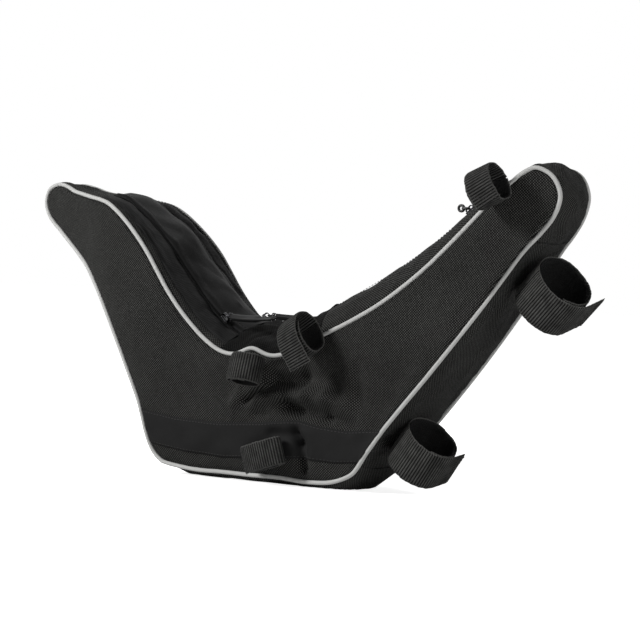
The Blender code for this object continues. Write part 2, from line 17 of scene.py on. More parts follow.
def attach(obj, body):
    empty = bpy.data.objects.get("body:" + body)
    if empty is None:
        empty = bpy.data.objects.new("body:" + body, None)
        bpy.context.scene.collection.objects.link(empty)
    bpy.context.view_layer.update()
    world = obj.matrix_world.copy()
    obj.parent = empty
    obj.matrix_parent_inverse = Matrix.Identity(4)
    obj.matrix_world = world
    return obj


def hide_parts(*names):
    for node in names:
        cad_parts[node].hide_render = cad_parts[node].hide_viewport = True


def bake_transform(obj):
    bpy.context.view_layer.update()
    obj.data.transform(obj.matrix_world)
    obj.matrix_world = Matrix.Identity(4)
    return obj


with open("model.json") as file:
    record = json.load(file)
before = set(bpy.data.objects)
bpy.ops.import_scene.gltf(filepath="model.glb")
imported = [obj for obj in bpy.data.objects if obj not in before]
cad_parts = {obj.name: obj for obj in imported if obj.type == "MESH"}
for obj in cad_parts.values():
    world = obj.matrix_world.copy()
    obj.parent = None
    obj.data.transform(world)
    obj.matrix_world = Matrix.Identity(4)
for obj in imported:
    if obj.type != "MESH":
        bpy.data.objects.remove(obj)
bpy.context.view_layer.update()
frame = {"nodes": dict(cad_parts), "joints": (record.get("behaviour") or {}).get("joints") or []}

# The seam line
SAMPLES_PER_POINT = 2
SEAM_START = (-0.2880, 0.2640)
TUBE_REACH = 0.0030
RIM_RISE = 0.0008
PROBE_SHARE = 0.3
PROBE_HEIGHT = 0.0600
FLAT_CROWN = 0.0130
FLOOR_NEAR = 0.0010
FLOOR_CLEAR = 0.0002
LID_START = 2.5
LID_END = 7.97
FRONT_ZIP_START = 11.0
FRONT_ZIP_END = 14.3
NOSE_TIP = 19.5
FRONT_GUSSET_START = 19.75
FRONT_GUSSET_END = 24.5
BOTTOM_GUSSET_END = 30.5
TAIL_GUSSET_START = 37.5
TAIL_TIP = 41.0

# The near side's hump in the seam, above the upper side loop
HUMP_PLACE = -0.0252
HUMP_WIDTH = 0.0143
HUMP_HEIGHT = 0.0085

# The near side's lower rear corner, which stands out from the seam line
CORNER_PLACE = (-0.1290, 0.0160)
CORNER_WIDTH = 0.0260
CORNER_HEIGHT = 0.0060

# Where the gusset lies below its crown: position, reach, share, spread of the share, depth
HOLLOWS = [
    # The far half of the lid
    (4.8, 2.2, 0.55, 0.24, 0.0074),
    # The top of the tail
    (1.2, 1.4, 0.20, 0.60, 0.0045),
    # The saddle's start, which stands up
    (8.5, 0.9, 0.40, 0.50, -0.0100),
    # The far half of the front arm's top, which hides the far piping
    (12.7, 1.5, 0.50, 0.30, -0.0018),
]

# Fabric
GRID_STEP = 0.0028
FABRIC_WALL = 0.0016
EDGE_TUCK = 0.0018
TUCK_WIDTH = 0.0030
PIPING_RADIUS = 0.0022
CORD_RADIUS = 0.0019
PIPING_STEP = 0.0025
PANEL_RISE = 0.0008
PANEL_INSET = 0.0008
PANEL_PILLOW = 0.0060
PILLOW_SPAN = 0.0800
PANEL_STEP = 0.0026
PANEL_ROWS = 48
PANEL_WALL = 0.0034
FOAM_DEPTH = 0.0046
FOAM_WALL = 0.0028
BAND_RISE = 0.0012
BAND_HEM = 0.0005
BAND_DEPTH = 0.0008

# Cloth simulation of the side panels
CLOTH_FRAMES = 20
CLOTH_GROWTH = -0.018
CLOTH_GRAVITY = 0.25
CLOTH_CAP = 0.0040
HELD_EDGE = 0.0070
HELD_WIDTH = 0.0130
HELD_FULL = 0.85
HELD_SHARE = 0.6

# Where the side loops hold the cloth: start and end (x, z)
HELD_LINES = (
    ((-0.016, 0.1130), (-0.016, 0.0930)),
    ((-0.0095, 0.0390), (-0.0015, 0.0160)),
)

# Zips
LID_ZIP_SHARE = 0.55
LID_SEAM_SHARE = 0.865
ZIP_HALF = 0.0035
ZIP_SLIT = 0.0010
TOOTH_PITCH = 0.0016
TOOTH_OFFSET = 0.0005
TOOTH_HALF_LENGTH = 0.0011
TOOTH_HALF_WIDTH = 0.00050
TOOTH_HALF_HEIGHT = 0.0006

# Stitches
STITCH_PITCH = 0.0034
STITCH_HALF_LENGTH = 0.00120
STITCH_HALF_WIDTH = 0.00028
STITCH_LIFT = 0.0001

# Webbing
WEB_WALL = 0.0018
HOOK_WALL = 0.0008
LINING_WALL = 0.0004
WIDE_WEB = 0.0380
NARROW_WEB = 0.0250
RIB_PITCH = 0.0024
RIB_DEPTH = 0.00030
WEB_STEP = 0.00055
HOOK_STEP = 0.0008
RAMP = math.radians(30.0)
GAP = 0.0003
FLAP_START = 2.2
SLIT_COVER = 0.0022
LINING_CLEAR = 0.00025

# Sliders and pulls
SLIDER_LIFT = 0.0011
SLIDER_LENGTH = 0.0100
SLIDER_WIDTH = 0.0062
SLIDER_HEIGHT = 0.0026
BAIL_CENTRE = 0.0051
BAIL_TOP = 0.0033
BAIL_HALF_WIDTH = 0.0013
BAIL_HALF_HEIGHT = 0.0005
WIRE_RADIUS = 0.0007
RING_RADIUS = 0.0012
WIRE_HALF_WIDTH = 0.0022
WIRE_LENGTH = 0.0090
PULL_START = 0.0073
PULL_LENGTH = 0.0500
PULL_RADIUS = 0.0030
PULL_LIFT = 0.0050
PULL_INWARD = 0.0120
CURL_TURN = 1.6
CURL_RADIUS = 0.0030
CURL_WIRE = 0.00055

TAU = 2.0 * math.pi
GOLDEN_TURN = 2.399963


def unit(vectors):
    """Vectors of length 1 in the same directions."""
    return vectors / np.maximum(np.linalg.norm(vectors, axis=-1, keepdims=True), 1e-12)


def node_places(node):
    """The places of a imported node's vertices."""
    return np.array([v.co for v in frame["nodes"][node].data.vertices])


def ring_centres(node):
    """The centres of a closed tube's rings, in order round it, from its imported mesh."""
    mesh = frame["nodes"][node].data
    unique, index = np.unique(np.round(node_places(node), 5), axis=0, return_inverse=True)
    index = index.ravel()
    near = np.linalg.norm(unique[:, None] - unique[None], axis=2) < TUBE_REACH
    label = np.full(len(unique), -1)
    count = 0
    for first in range(len(unique)):
        if label[first] >= 0:
            continue
        label[first] = count
        waiting = [first]
        while waiting:
            for other in np.nonzero(near[waiting.pop()] & (label < 0))[0]:
                label[other] = count
                waiting.append(other)
        count += 1
    centres = np.array([unique[label == k].mean(0) for k in range(count)])
    beside = [set() for _ in range(count)]
    for edge in mesh.edges:
        a, b = (int(label[index[v]]) for v in edge.vertices)
        if a != b:
            beside[a].add(b)
            beside[b].add(a)
    start = int(np.argmin(np.hypot(centres[:, 0] - SEAM_START[0], centres[:, 2] - SEAM_START[1])))
    order = [start, max(beside[start], key=lambda k: centres[k, 0])]
    while len(order) < count:
        order.append(next(k for k in beside[order[-1]] if k != order[-2]))
    return centres[order]


class Seam:
    """The seam line: x, z, half width and crown at any position, and the directions along and outwards."""

    def __init__(self):
        centres = ring_centres("piping_right")
        self.values = np.column_stack([centres[:, 0], centres[:, 2], -centres[:, 1], np.zeros(len(centres))])
        self.measure_slopes()
        self.values[:, 3] = self.crowns()
        self.measure_slopes()
        self.length = len(self.values) / SAMPLES_PER_POINT

    def measure_slopes(self):
        after = np.roll(self.values, -1, axis=0)
        self.gap = np.hypot(*(after - self.values)[:, :2].T)
        ahead = (after - self.values) / self.gap[:, None]
        behind = np.roll(ahead, 1, axis=0)
        gap = self.gap[:, None]
        gap_behind = np.roll(gap, 1, axis=0)
        self.slope = (behind * gap + ahead * gap_behind) / (gap + gap_behind)

    def crowns(self):
        """How far the gusset bulges out at each sample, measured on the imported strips."""
        verts = []
        faces = []
        for name in sorted(n for n in frame["nodes"] if "gusset" in n or n == "lid_panel"):
            mesh = frame["nodes"][name].data
            first = len(verts)
            verts += [v.co.copy() for v in mesh.vertices]
            faces += [[first + k for k in p.vertices] for p in mesh.polygons]
        tree = BVHTree.FromPolygons(verts, faces)
        crowns = []
        for k in range(len(self.values)):
            place, out, half, _ = self.at(np.array([k / SAMPLES_PER_POINT]))
            from_point = Vector(place[0] + out[0] * PROBE_HEIGHT) + Vector((0.0, PROBE_SHARE * half[0], 0.0))
            hit = tree.ray_cast(from_point, -Vector(out[0]))[0]
            height = (hit - from_point).length if hit else PROBE_HEIGHT
            if hit and hit.z < FLOOR_NEAR:
                crowns.append(FLAT_CROWN)
            else:
                crowns.append((PROBE_HEIGHT - height - RIM_RISE) / (1.0 - PROBE_SHARE**2))
        return np.maximum(crowns, 0.0)

    def at(self, positions):
        """Places (n, 3) in the middle plane, outward directions (n, 3), half widths and crowns (n)."""
        sample = np.asarray(positions, float) * SAMPLES_PER_POINT
        index = np.floor(sample).astype(int)
        u = (sample - index)[:, None]
        a = self.values[index % len(self.values)]
        b = self.values[(index + 1) % len(self.values)]
        span = self.gap[index % len(self.values)][:, None]
        m = self.slope[index % len(self.values)] * span
        n = self.slope[(index + 1) % len(self.values)] * span
        value = a * (2 * u**3 - 3 * u**2 + 1) + m * (u**3 - 2 * u**2 + u)
        value += b * (3 * u**2 - 2 * u**3) + n * (u**3 - u**2)
        slope = a * (6 * u**2 - 6 * u) + m * (3 * u**2 - 4 * u + 1)
        slope += b * (6 * u - 6 * u**2) + n * (3 * u**2 - 2 * u)
        zero = np.zeros(len(sample))
        place = np.column_stack([value[:, 0], zero, value[:, 1]])
        out = unit(np.column_stack([-slope[:, 1], zero, slope[:, 0]]))
        return place, out, value[:, 2], value[:, 3]

    def stations(self, start, end, spacing):
        """Positions from start to end, evenly spaced along the line."""
        fine = np.linspace(start, end, max(3, int((end - start) * 40)))
        place = self.at(fine)[0]
        run = np.concatenate([[0.0], np.cumsum(np.linalg.norm(np.diff(place, axis=0), axis=1))])
        count = max(2, round(run[-1] / spacing))
        return np.interp(np.linspace(0.0, run[-1], count + 1), run, fine)


seam = Seam()


def hump(place, out, side):
    """How far the near side's seam is pushed out, over the upper side loop and at the rear corner."""
    if side > 0:
        return np.zeros(len(place))
    upper = np.clip(out[:, 2] * 2.0, 0.0, 1.0)
    apart = np.hypot(place[:, 0] - CORNER_PLACE[0], place[:, 2] - CORNER_PLACE[1])
    corner = np.exp(-((apart / CORNER_WIDTH) ** 2)) * np.clip((place[:, 2] - 0.0040) / 0.0120, 0.0, 1.0)
    total = upper * HUMP_HEIGHT * np.exp(-(((place[:, 0] - HUMP_PLACE) / HUMP_WIDTH) ** 2))
    return total + CORNER_HEIGHT * corner


def sag(positions, share):
    """How far the gusset lies below its crown."""
    total = np.zeros(share.shape)
    for middle, reach, centre, spread, depth in HOLLOWS:
        apart = (positions - middle + 0.5 * seam.length) % seam.length - 0.5 * seam.length
        along = np.exp(-((apart / reach) ** 4))[:, None]
        total += depth * along * (1.0 - share**2) * np.exp(-(((share - centre) / spread) ** 2))
    return total


def face(positions, across, rise=0.0):
    """Points on the gusset's outer face. across is y at each point, (n, m)."""
    place, out, half, crown = seam.at(positions)
    share = across / half[:, None]
    height = RIM_RISE + rise + crown[:, None] * (1.0 - share**2) - sag(positions, share)
    near = np.clip((-share - 0.45) / 0.55, 0.0, 1.0)
    height = height + hump(place, out, -1.0)[:, None] * near**2 * (3.0 - 2.0 * near)
    points = place[:, None] + out[:, None] * height[..., None]
    points[..., 1] += across
    points[..., 2] = np.maximum(points[..., 2], FLOOR_CLEAR)
    return points


def grid_normals(points, towards):
    """Unit normals of a grid of points, turned to the side of towards."""
    down = np.gradient(points, axis=0)
    along = np.gradient(points, axis=1)
    normal = unit(np.cross(down, along))
    flip = np.sign((normal * towards).sum(-1, keepdims=True))
    return normal * np.where(flip == 0, 1.0, flip)


def waves(points, size, key):
    """Smooth uneven values of about -1 to 1 over points. size is the length of a wave."""
    total = np.zeros(points.shape[:-1])
    for k in range(6):
        turn = GOLDEN_TURN * (k + 1) + key
        tilt = math.sin(1.7 * k + 0.9 * key)
        way = np.array([math.cos(turn), tilt, math.sin(turn)]) / math.hypot(1.0, tilt)
        total += np.sin(points @ way * TAU / size * (1.0 + 0.31 * k) + 1.3 * k * key + k)
    return total / 3.0


def segment_fall(points, start, end, width):
    """1 on a segment, falling to 0 over width. points and the segment have two or three coordinates."""
    a, b = np.array(start, float), np.array(end, float)
    way = b - a
    t = np.clip(((points - a) @ way) / max(way @ way, 1e-12), 0.0, 1.0)
    distance = np.linalg.norm(points - a - t[..., None] * way, axis=-1)
    return np.exp(-((distance / width) ** 2))


def fold_relief(points, folds):
    """The height of single folds, each given by its start, end, width and height."""
    total = np.zeros(points.shape[:-1])
    for start, end, width, height in folds:
        total += height * segment_fall(points, start, end, width)
    return total


def creases(points, key, count, length, width, height):
    """Short folds strewn over a surface, up and down."""
    rng = np.random.default_rng(key)
    flat = points.reshape(-1, 3)
    total = np.zeros(points.shape[:-1])
    for _ in range(count):
        start, other = flat[rng.integers(len(flat), size=2)]
        way = unit(other - start) * length * (0.5 + rng.random())
        size = height * (2.0 * rng.random() - 1.0)
        total += size * segment_fall(points, start, start + way, width * (0.6 + rng.random()))
    return total


def new_object(name, verts, faces, look, uvs=None):
    """A smooth mesh object. uvs are one pair for each vertex."""
    mesh = bpy.data.meshes.new(name)
    mesh.from_pydata([tuple(v) for v in verts], [], faces)
    if uvs is not None:
        layer = mesh.uv_layers.new(name="UVMap")
        index = np.zeros(len(mesh.loops), int)
        mesh.loops.foreach_get("vertex_index", index)
        layer.data.foreach_set("uv", np.asarray(uvs, float)[index].ravel())
    mesh.materials.append(look)
    mesh.shade_smooth()
    item = bpy.data.objects.new(name, mesh)
    bpy.context.scene.collection.objects.link(item)
    turn_outwards(mesh)
    return item


def turn_outwards(mesh):
    """Turns the faces over if the mesh is inside out."""
    bm = bmesh.new()
    bm.from_mesh(mesh)
    if bm.calc_volume(signed=True) < 0.0:
        bmesh.ops.reverse_faces(bm, faces=bm.faces)
        bm.to_mesh(mesh)
    bm.free()


def grid_quads(n, m):
    k = np.arange(n * m).reshape(n, m)
    return np.stack([k[:-1, :-1], k[1:, :-1], k[1:, 1:], k[:-1, 1:]], -1).reshape(-1, 4)


def shell(name, outer, inner, look, uvs):
    """A closed object between two grids of points."""
    n, m = outer.shape[:2]
    k = np.arange(n * m).reshape(n, m)
    quads = grid_quads(n, m)
    faces = quads.tolist() + (quads[:, ::-1] + n * m).tolist()
    rim = list(k[:, 0]) + list(k[-1, 1:]) + list(k[-2::-1, -1]) + list(k[0, -2:0:-1])
    for a, b in zip(rim, rim[1:] + rim[:1]):
        faces.append([int(b), int(a), int(a + n * m), int(b + n * m)])
    verts = np.concatenate([outer.reshape(-1, 3), inner.reshape(-1, 3)])
    flat = uvs.reshape(-1, 2)
    return new_object(name, verts, faces, look, np.concatenate([flat, flat]))


def sweep(name, rings, look, uvs, closed=False):
    """A closed object through rings of points (n, k, 3). A tube that isn't closed gets flat ends."""
    n, k = rings.shape[:2]
    index = np.arange(n * k).reshape(n, k)
    rows = list(range(n)) + ([0] if closed else [])
    faces = []
    for a, b in zip(rows, rows[1:]):
        one, two = index[a], index[b]
        faces += np.stack([one, np.roll(one, -1), np.roll(two, -1), two], -1).tolist()
    if not closed:
        faces += [index[0].tolist(), index[-1][::-1].tolist()]
    return new_object(name, rings.reshape(-1, 3), faces, look, uvs.reshape(-1, 2))


def run_lengths(points):
    """The distance run at each point of a path."""
    return np.concatenate([[0.0], np.cumsum(np.linalg.norm(np.diff(points, axis=0), axis=1))])


def tube(name, path, radius, sides, look, closed=False, hint=(0.0, 1.0, 0.0)):
    """A round tube along a path (n, 3). hint is a direction that lies roughly across it."""
    if closed:
        along = np.roll(path, -1, axis=0) - np.roll(path, 1, axis=0)
    else:
        along = np.gradient(path, axis=0)
    along = unit(along)
    hint = np.asarray(hint, float)
    across = unit(hint - along * (along @ hint)[:, None])
    up = np.cross(along, across)
    turn = TAU * np.arange(sides) / sides
    circle = np.cos(turn)[None, :, None] * across[:, None] + np.sin(turn)[None, :, None] * up[:, None]
    around = np.arange(sides) / sides * TAU * radius
    uvs = np.stack(np.broadcast_arrays(run_lengths(path)[:, None], around[None, :]), -1)
    return sweep(name, path[:, None] + radius * circle, look, uvs, closed)


def smooth_path(points, count):
    """A smooth path of count points through the given ones."""
    points = np.asarray(points, float)
    run = run_lengths(points)
    slope = np.gradient(points, run, axis=0)
    places = np.linspace(0.0, run[-1], count)
    index = np.clip(np.searchsorted(run, places, side="right") - 1, 0, len(points) - 2)
    span = (run[index + 1] - run[index])[:, None]
    u = ((places - run[index]) / span[:, 0])[:, None]
    path = points[index] * (2 * u**3 - 3 * u**2 + 1) + slope[index] * span * (u**3 - 2 * u**2 + u)
    return path + points[index + 1] * (3 * u**2 - 2 * u**3) + slope[index + 1] * span * (u**3 - u**2)


def beads(name, centres, ways, ups, half_length, half_width, half_height, look):
    """Many small rounded bars in one object. ways are their long directions and ups point off the cloth."""
    ways = unit(np.asarray(ways))
    ups = unit(ups - ways * (ups * ways).sum(-1, keepdims=True))
    sides = np.cross(ways, ups)
    corners = [(-1.0, 0.0, 0.0)]
    for step in (-0.6, 0.6):
        corners += [(step, -1.0, 0.0), (step, 0.0, 1.0), (step, 1.0, 0.0), (step, 0.0, -1.0)]
    corners.append((1.0, 0.0, 0.0))
    one = [(0, k + 1, (k + 1) % 4 + 1) for k in range(4)]
    one += [(k + 1, k + 5, (k + 1) % 4 + 5, (k + 1) % 4 + 1) for k in range(4)]
    one += [(9, (k + 1) % 4 + 5, k + 5) for k in range(4)]
    verts = []
    faces = []
    for k in range(len(centres)):
        first = len(verts)
        for x, y, z in corners:
            offset = ways[k] * x * half_length + sides[k] * y * half_width + ups[k] * z * half_height
            verts.append(centres[k] + offset)
        faces += [[first + i for i in f] for f in one]
    return new_object(name, verts, faces, look, np.array(verts)[:, [0, 2]])


def stitch_line(name, paths, look):
    """Rows of stitches. paths is a list of pairs: points on the cloth and directions off it."""
    centres, ways, ups = [], [], []
    for path, over in paths:
        run = run_lengths(path)
        places = np.arange(0.5 * STITCH_PITCH, run[-1], STITCH_PITCH)
        along = unit(np.gradient(path, axis=0))
        for values, found in ((path, centres), (along, ways), (over, ups)):
            found.append(np.column_stack([np.interp(places, run, values[:, k]) for k in range(3)]))
    return beads(name, np.concatenate(centres), np.concatenate(ways), np.concatenate(ups),
                 STITCH_HALF_LENGTH, STITCH_HALF_WIDTH, STITCH_HALF_WIDTH, look)


def computed(tree, operation, *values):
    """The output of a Math node over numbers and sockets."""
    node = tree.nodes.new("ShaderNodeMath")
    node.operation = operation
    for k, value in enumerate(values):
        if isinstance(value, (int, float)):
            node.inputs[k].default_value = value
        else:
            tree.links.new(value, node.inputs[k])
    return node.outputs[0]


def mapped(tree, value, low, high, to_low, to_high):
    """Maps low to high onto to_low to to_high, and holds it there."""
    node = tree.nodes.new("ShaderNodeMapRange")
    for name, number in (("From Min", low), ("From Max", high), ("To Min", to_low), ("To Max", to_high)):
        node.inputs[name].default_value = number
    tree.links.new(value, node.inputs["Value"])
    return node.outputs[0]


class Shader:
    """Builds one material's nodes."""

    def __init__(self, name, colour, roughness, metallic=0.0, specular=0.3, sheen=0.0):
        self.material = bpy.data.materials.new(name)
        self.material.use_nodes = True
        self.tree = self.material.node_tree
        self.shader = self.tree.nodes["Principled BSDF"]
        self.shader.inputs["Base Color"].default_value = (*colour, 1.0)
        self.shader.inputs["Roughness"].default_value = roughness
        self.shader.inputs["Metallic"].default_value = metallic
        self.shader.inputs["Specular IOR Level"].default_value = specular
        self.shader.inputs["Sheen Weight"].default_value = sheen
        self.shader.inputs["Sheen Roughness"].default_value = 0.5
        coordinates = self.tree.nodes.new("ShaderNodeTexCoord")
        self.object = coordinates.outputs["Object"]
        split = self.tree.nodes.new("ShaderNodeSeparateXYZ")
        self.tree.links.new(coordinates.outputs["UV"], split.inputs[0])
        self.u, self.v = split.outputs[0], split.outputs[1]

    def math(self, operation, *values):
        return computed(self.tree, operation, *values)

    def span(self, value, low, high, to_low=0.0, to_high=1.0):
        return mapped(self.tree, value, low, high, to_low, to_high)

    def wave(self, coordinate, pitch):
        """|sin| with one hump for each pitch."""
        return self.math("ABSOLUTE", self.math("SINE", self.math("MULTIPLY", coordinate, math.pi / pitch)))

    def noise(self, scale, detail=2.0):
        node = self.tree.nodes.new("ShaderNodeTexNoise")
        node.inputs["Scale"].default_value = scale
        node.inputs["Detail"].default_value = detail
        self.tree.links.new(self.object, node.inputs["Vector"])
        return node.outputs["Fac"]

    def weave(self, pitch, weft_share=0.3):
        """Height of a plain weave whose weft lies weft_share as high as its warp."""
        one = self.math("SINE", self.math("MULTIPLY", self.u, math.pi / pitch))
        two = self.math("SINE", self.math("MULTIPLY", self.v, math.pi / pitch))
        over = self.math("GREATER_THAN", self.math("MULTIPLY", one, two), 0.0)
        under = self.math("SUBTRACT", 1.0, over)
        warp = self.math("MULTIPLY", self.math("ABSOLUTE", one), over)
        weft = self.math("MULTIPLY", self.math("ABSOLUTE", two), self.math("MULTIPLY", under, weft_share))
        return self.math("ADD", warp, weft)

    def mix(self, factor, low, high):
        """Base colour from low to high by factor."""
        node = self.tree.nodes.new("ShaderNodeMix")
        node.data_type = "RGBA"
        self.tree.links.new(factor, node.inputs["Factor"])
        node.inputs["A"].default_value = (*low, 1.0)
        node.inputs["B"].default_value = (*high, 1.0)
        return node.outputs["Result"]

    def paint(self, colour):
        self.tree.links.new(colour, self.shader.inputs["Base Color"])

    def rough(self, value):
        self.tree.links.new(value, self.shader.inputs["Roughness"])

    def bump(self, height, distance, strength=1.0):
        node = self.tree.nodes.new("ShaderNodeBump")
        node.inputs["Distance"].default_value = distance
        node.inputs["Strength"].default_value = strength
        self.tree.links.new(height, node.inputs["Height"])
        if self.shader.inputs["Normal"].links:
            self.tree.links.new(self.shader.inputs["Normal"].links[0].from_socket, node.inputs["Normal"])
        self.tree.links.new(node.outputs[0], self.shader.inputs["Normal"])


def scaled(colour, factor):
    return tuple(c * factor for c in colour)


def woven_look(name, colour, pitch, depth):
    """Canvas with threads that show, worn unevenly, the raised warp painted lighter as highlight, the weft
    painted darker as shade, and painted glints in specks.
    """
    made = Shader(name, colour, 0.75, specular=0.02, sheen=0.01)
    weave = made.weave(pitch)
    patches = made.noise(22.0, 3.0)
    # Fine specks of painted glint on the threads.
    glint_specks = made.noise(700.0, 1.0)
    # worn is the random wear patches with the painted glints added.
    worn = made.math("ADD", made.span(patches, 0.3, 0.7, 0.75, 1.1), made.span(glint_specks, 0.3, 0.7, -0.2, 0.2))
    # Painted light on the weave: raised warp threads lighter as if lit, weft and gaps darker as if shaded.
    thread = made.math("MULTIPLY", made.math("MULTIPLY", weave, weave), worn)
    made.paint(made.mix(thread, scaled(colour, 0.05), scaled(colour, 3.4)))
    made.rough(made.span(patches, 0.3, 0.7, 0.62, 0.8))
    made.bump(weave, depth)
    return made.material


def smooth_look(name, colour, roughness, specular):
    """Coated cloth with a fine thread and soft creases."""
    made = Shader(name, colour, roughness, specular=specular)
    patches = made.noise(18.0, 3.0)
    fine = made.weave(0.0007, 0.6)
    made.paint(made.mix(patches, scaled(colour, 0.6), scaled(colour, 1.4)))
    made.rough(made.span(patches, 0.3, 0.7, roughness - 0.06, roughness + 0.1))
    made.bump(fine, 0.00004)
    made.bump(made.noise(70.0, 3.0), 0.0012, 0.5)
    return made.material


def ribbed_look(name, colour, pitch, depth):
    """Tape with ribs across it, painted lighter on their crests as highlight and darker between them as
    shade.
    """
    made = Shader(name, colour, 0.6, specular=0.04)
    rib = made.wave(made.u, pitch)
    thread = made.span(made.wave(made.v, 0.6 * pitch), 0.0, 1.0, 0.45, 1.0)
    # Painted light on the ribs: crests lighter as if lit, troughs darker as if shaded.
    both = made.math("MULTIPLY", rib, thread)
    made.paint(made.mix(both, scaled(colour, 0.15), scaled(colour, 2.2)))
    made.bump(both, depth)
    return made.material


def webbing_look(name, colour, width):
    """Webbing whose ribs cross its width, with paler edges, painted highlights on the rib crests and painted
    shade between the ribs.
    """
    made = Shader(name, colour, 0.65, specular=0.03, sheen=0.01)
    rib = made.math("POWER", made.wave(made.u, RIB_PITCH), 1.8)
    thread = made.span(made.wave(made.v, 0.0013), 0.0, 1.0, 0.35, 1.0)
    worn = made.span(made.noise(120.0, 2.0), 0.3, 0.7, 0.55, 1.2)
    # Painted light on the ribs: crests lighter as if lit, troughs darker as if shaded, with the random wear.
    both = made.math("MULTIPLY", made.math("MULTIPLY", rib, thread), worn)
    edge = made.span(made.math("ABSOLUTE", made.v), 0.5 * width - 0.0014, 0.5 * width - 0.0005)
    frayed = made.math("MULTIPLY", edge, made.span(made.noise(900.0), 0.3, 0.7, 0.5, 1.5))
    lit = made.math("MAXIMUM", both, frayed)
    made.paint(made.mix(lit, scaled(colour, 0.04), scaled(colour, 3.6)))
    made.bump(both, 0.0005)
    return made.material


def piping_look(name, colour):
    made = Shader(name, colour, 0.6, specular=0.2)
    slant = made.wave(made.math("ADD", made.u, made.v), 0.0013)
    grime = made.span(made.noise(45.0, 3.0), 0.3, 0.7, 0.8, 1.0)
    made.paint(made.mix(made.math("MULTIPLY", slant, grime), scaled(colour, 0.72), scaled(colour, 1.05)))
    made.bump(slant, 0.00012)
    return made.material


def plain_look(name, colour, roughness, metallic=0.0, specular=0.4):
    """Moulded, cast or plated stuff with a fine grain and wear."""
    made = Shader(name, colour, roughness, metallic, specular)
    speck = made.noise(400.0, 2.0)
    patches = made.noise(60.0, 2.0)
    made.paint(made.mix(patches, scaled(colour, 0.7), scaled(colour, 1.3)))
    made.rough(made.span(patches, 0.3, 0.7, roughness - 0.06, roughness + 0.08))
    made.bump(speck, 0.00004)
    return made.material


CANVAS = woven_look("canvas", (0.024, 0.024, 0.0228), 0.00118, 0.00035)
GUSSET_CANVAS = woven_look("gusset_canvas", (0.024, 0.024, 0.0229), 0.00115, 0.00035)
# The saddle's canvas is the gusset canvas about four times darker: painted shade for the hollow under the
# pull and the straps.
SHADED_SADDLE_CANVAS = woven_look("saddle_canvas_painted_shade", (0.0062, 0.0062, 0.0060), 0.00115, 0.00035)
TAPE = ribbed_look("zip_tape", (0.0085, 0.0085, 0.0085), 0.0017, 0.00018)
LINING = woven_look("lining", (0.05, 0.05, 0.05), 0.0008, 0.00010)
SMOOTH = smooth_look("smooth_cloth", (0.0068, 0.0068, 0.0068), 0.50, 0.03)
BAND_CLOTH = smooth_look("band_cloth", (0.0128, 0.0128, 0.0128), 0.65, 0.03)
WIDE_WEBBING = webbing_look("wide_webbing", (0.022, 0.022, 0.021), WIDE_WEB)
NARROW_WEBBING = webbing_look("narrow_webbing", (0.0175, 0.0175, 0.0168), NARROW_WEB)
HOOKS = woven_look("hook_tape", (0.010, 0.010, 0.010), 0.0009, 0.00030)
PILE = woven_look("loop_tape", (0.012, 0.012, 0.012), 0.0006, 0.00020)
PIPING = piping_look("piping", (0.40, 0.40, 0.39))
COIL = plain_look("zip_coil", (0.008, 0.008, 0.008), 0.5, specular=0.05)
THREAD = plain_look("thread", (0.032, 0.032, 0.031), 0.7, specular=0.05)
DARK_THREAD = plain_look("dark_thread", (0.016, 0.016, 0.016), 0.7, specular=0.05)
METAL = plain_look("gunmetal", (0.035, 0.035, 0.037), 0.28, metallic=1.0)
DARK_METAL = plain_look("blackened_wire", (0.012, 0.012, 0.012), 0.35, specular=0.25)
RUBBER = plain_look("pull_rubber", (0.010, 0.010, 0.010), 0.45, specular=0.08)
BOARD = plain_look("base_board", (0.03, 0.03, 0.03), 0.55)


def put(item, body, nodes=()):
    """Fastens a piece to its body and hides the imported parts it stands for."""
    if nodes:
        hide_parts(*nodes)
    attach(item, body)
    return item


def strip(name, start, end, low, high, look, rise=0.0, wall=FABRIC_WALL, relief=None, step=GRID_STEP):
    """A closed strip of cloth over the gusset, between two lines that give y from a half width."""
    positions = seam.stations(start, end, step)
    place, out, half, _ = seam.at(positions)
    lows, highs = low(half), high(half)
    columns = max(3, round(float(np.max(highs - lows)) / step))
    across = lows[:, None] + (highs - lows)[:, None] * np.linspace(0.0, 1.0, columns + 1)[None]
    points = face(positions, across, rise)
    normals = grid_normals(points, out[:, None])
    if relief:
        points = points + normals * relief(points, across / half[:, None], positions)[..., None]
        points[..., 2] = np.maximum(points[..., 2], FLOOR_CLEAR)
    inner = points - normals * wall
    inner[..., 2] = np.maximum(inner[..., 2], FLOOR_CLEAR + 0.9 * wall * (points[..., 2] < FLOOR_NEAR))
    uvs = np.stack(np.broadcast_arrays(run_lengths(place + out * 0.01)[:, None], across), -1)
    return shell(name, points, inner, look, uvs)


def edge(half):
    """The y of the gusset's edge under the piping."""
    return half - 0.4 * PIPING_RADIUS


def share_of(share, shift=0.0):
    return lambda half: share * half + shift


def level_line(value):
    return lambda half: value + 0.0 * half


def on_side(side, low, high):
    """Two lines given for the left side, in order, for either side."""
    if side > 0:
        return low, high
    return (lambda half: -high(half)), (lambda half: -low(half))


def edge_fall(share, width=0.06):
    """How cloth falls towards its sewn edges."""
    return -EDGE_TUCK * np.exp(-(((1.0 - np.abs(share)) / width) ** 2))


def slack(size, amount, key, folds=(), count=14):
    """Relief of cloth that isn't tight, with folds as fold_relief takes them."""
    def relief(points, share, positions):
        total = amount * waves(points, size, key) * (1.0 - share**4)
        total += creases(points, int(10 * key), count, 0.030, 0.0040, 1.5 * amount)
        pucker = np.exp(-(((1.0 - np.abs(share)) / 0.16) ** 2))
        total += 0.0004 * waves(points, 0.011, key + 2.0) * pucker
        return total + fold_relief(points, folds) + edge_fall(share)
    return relief


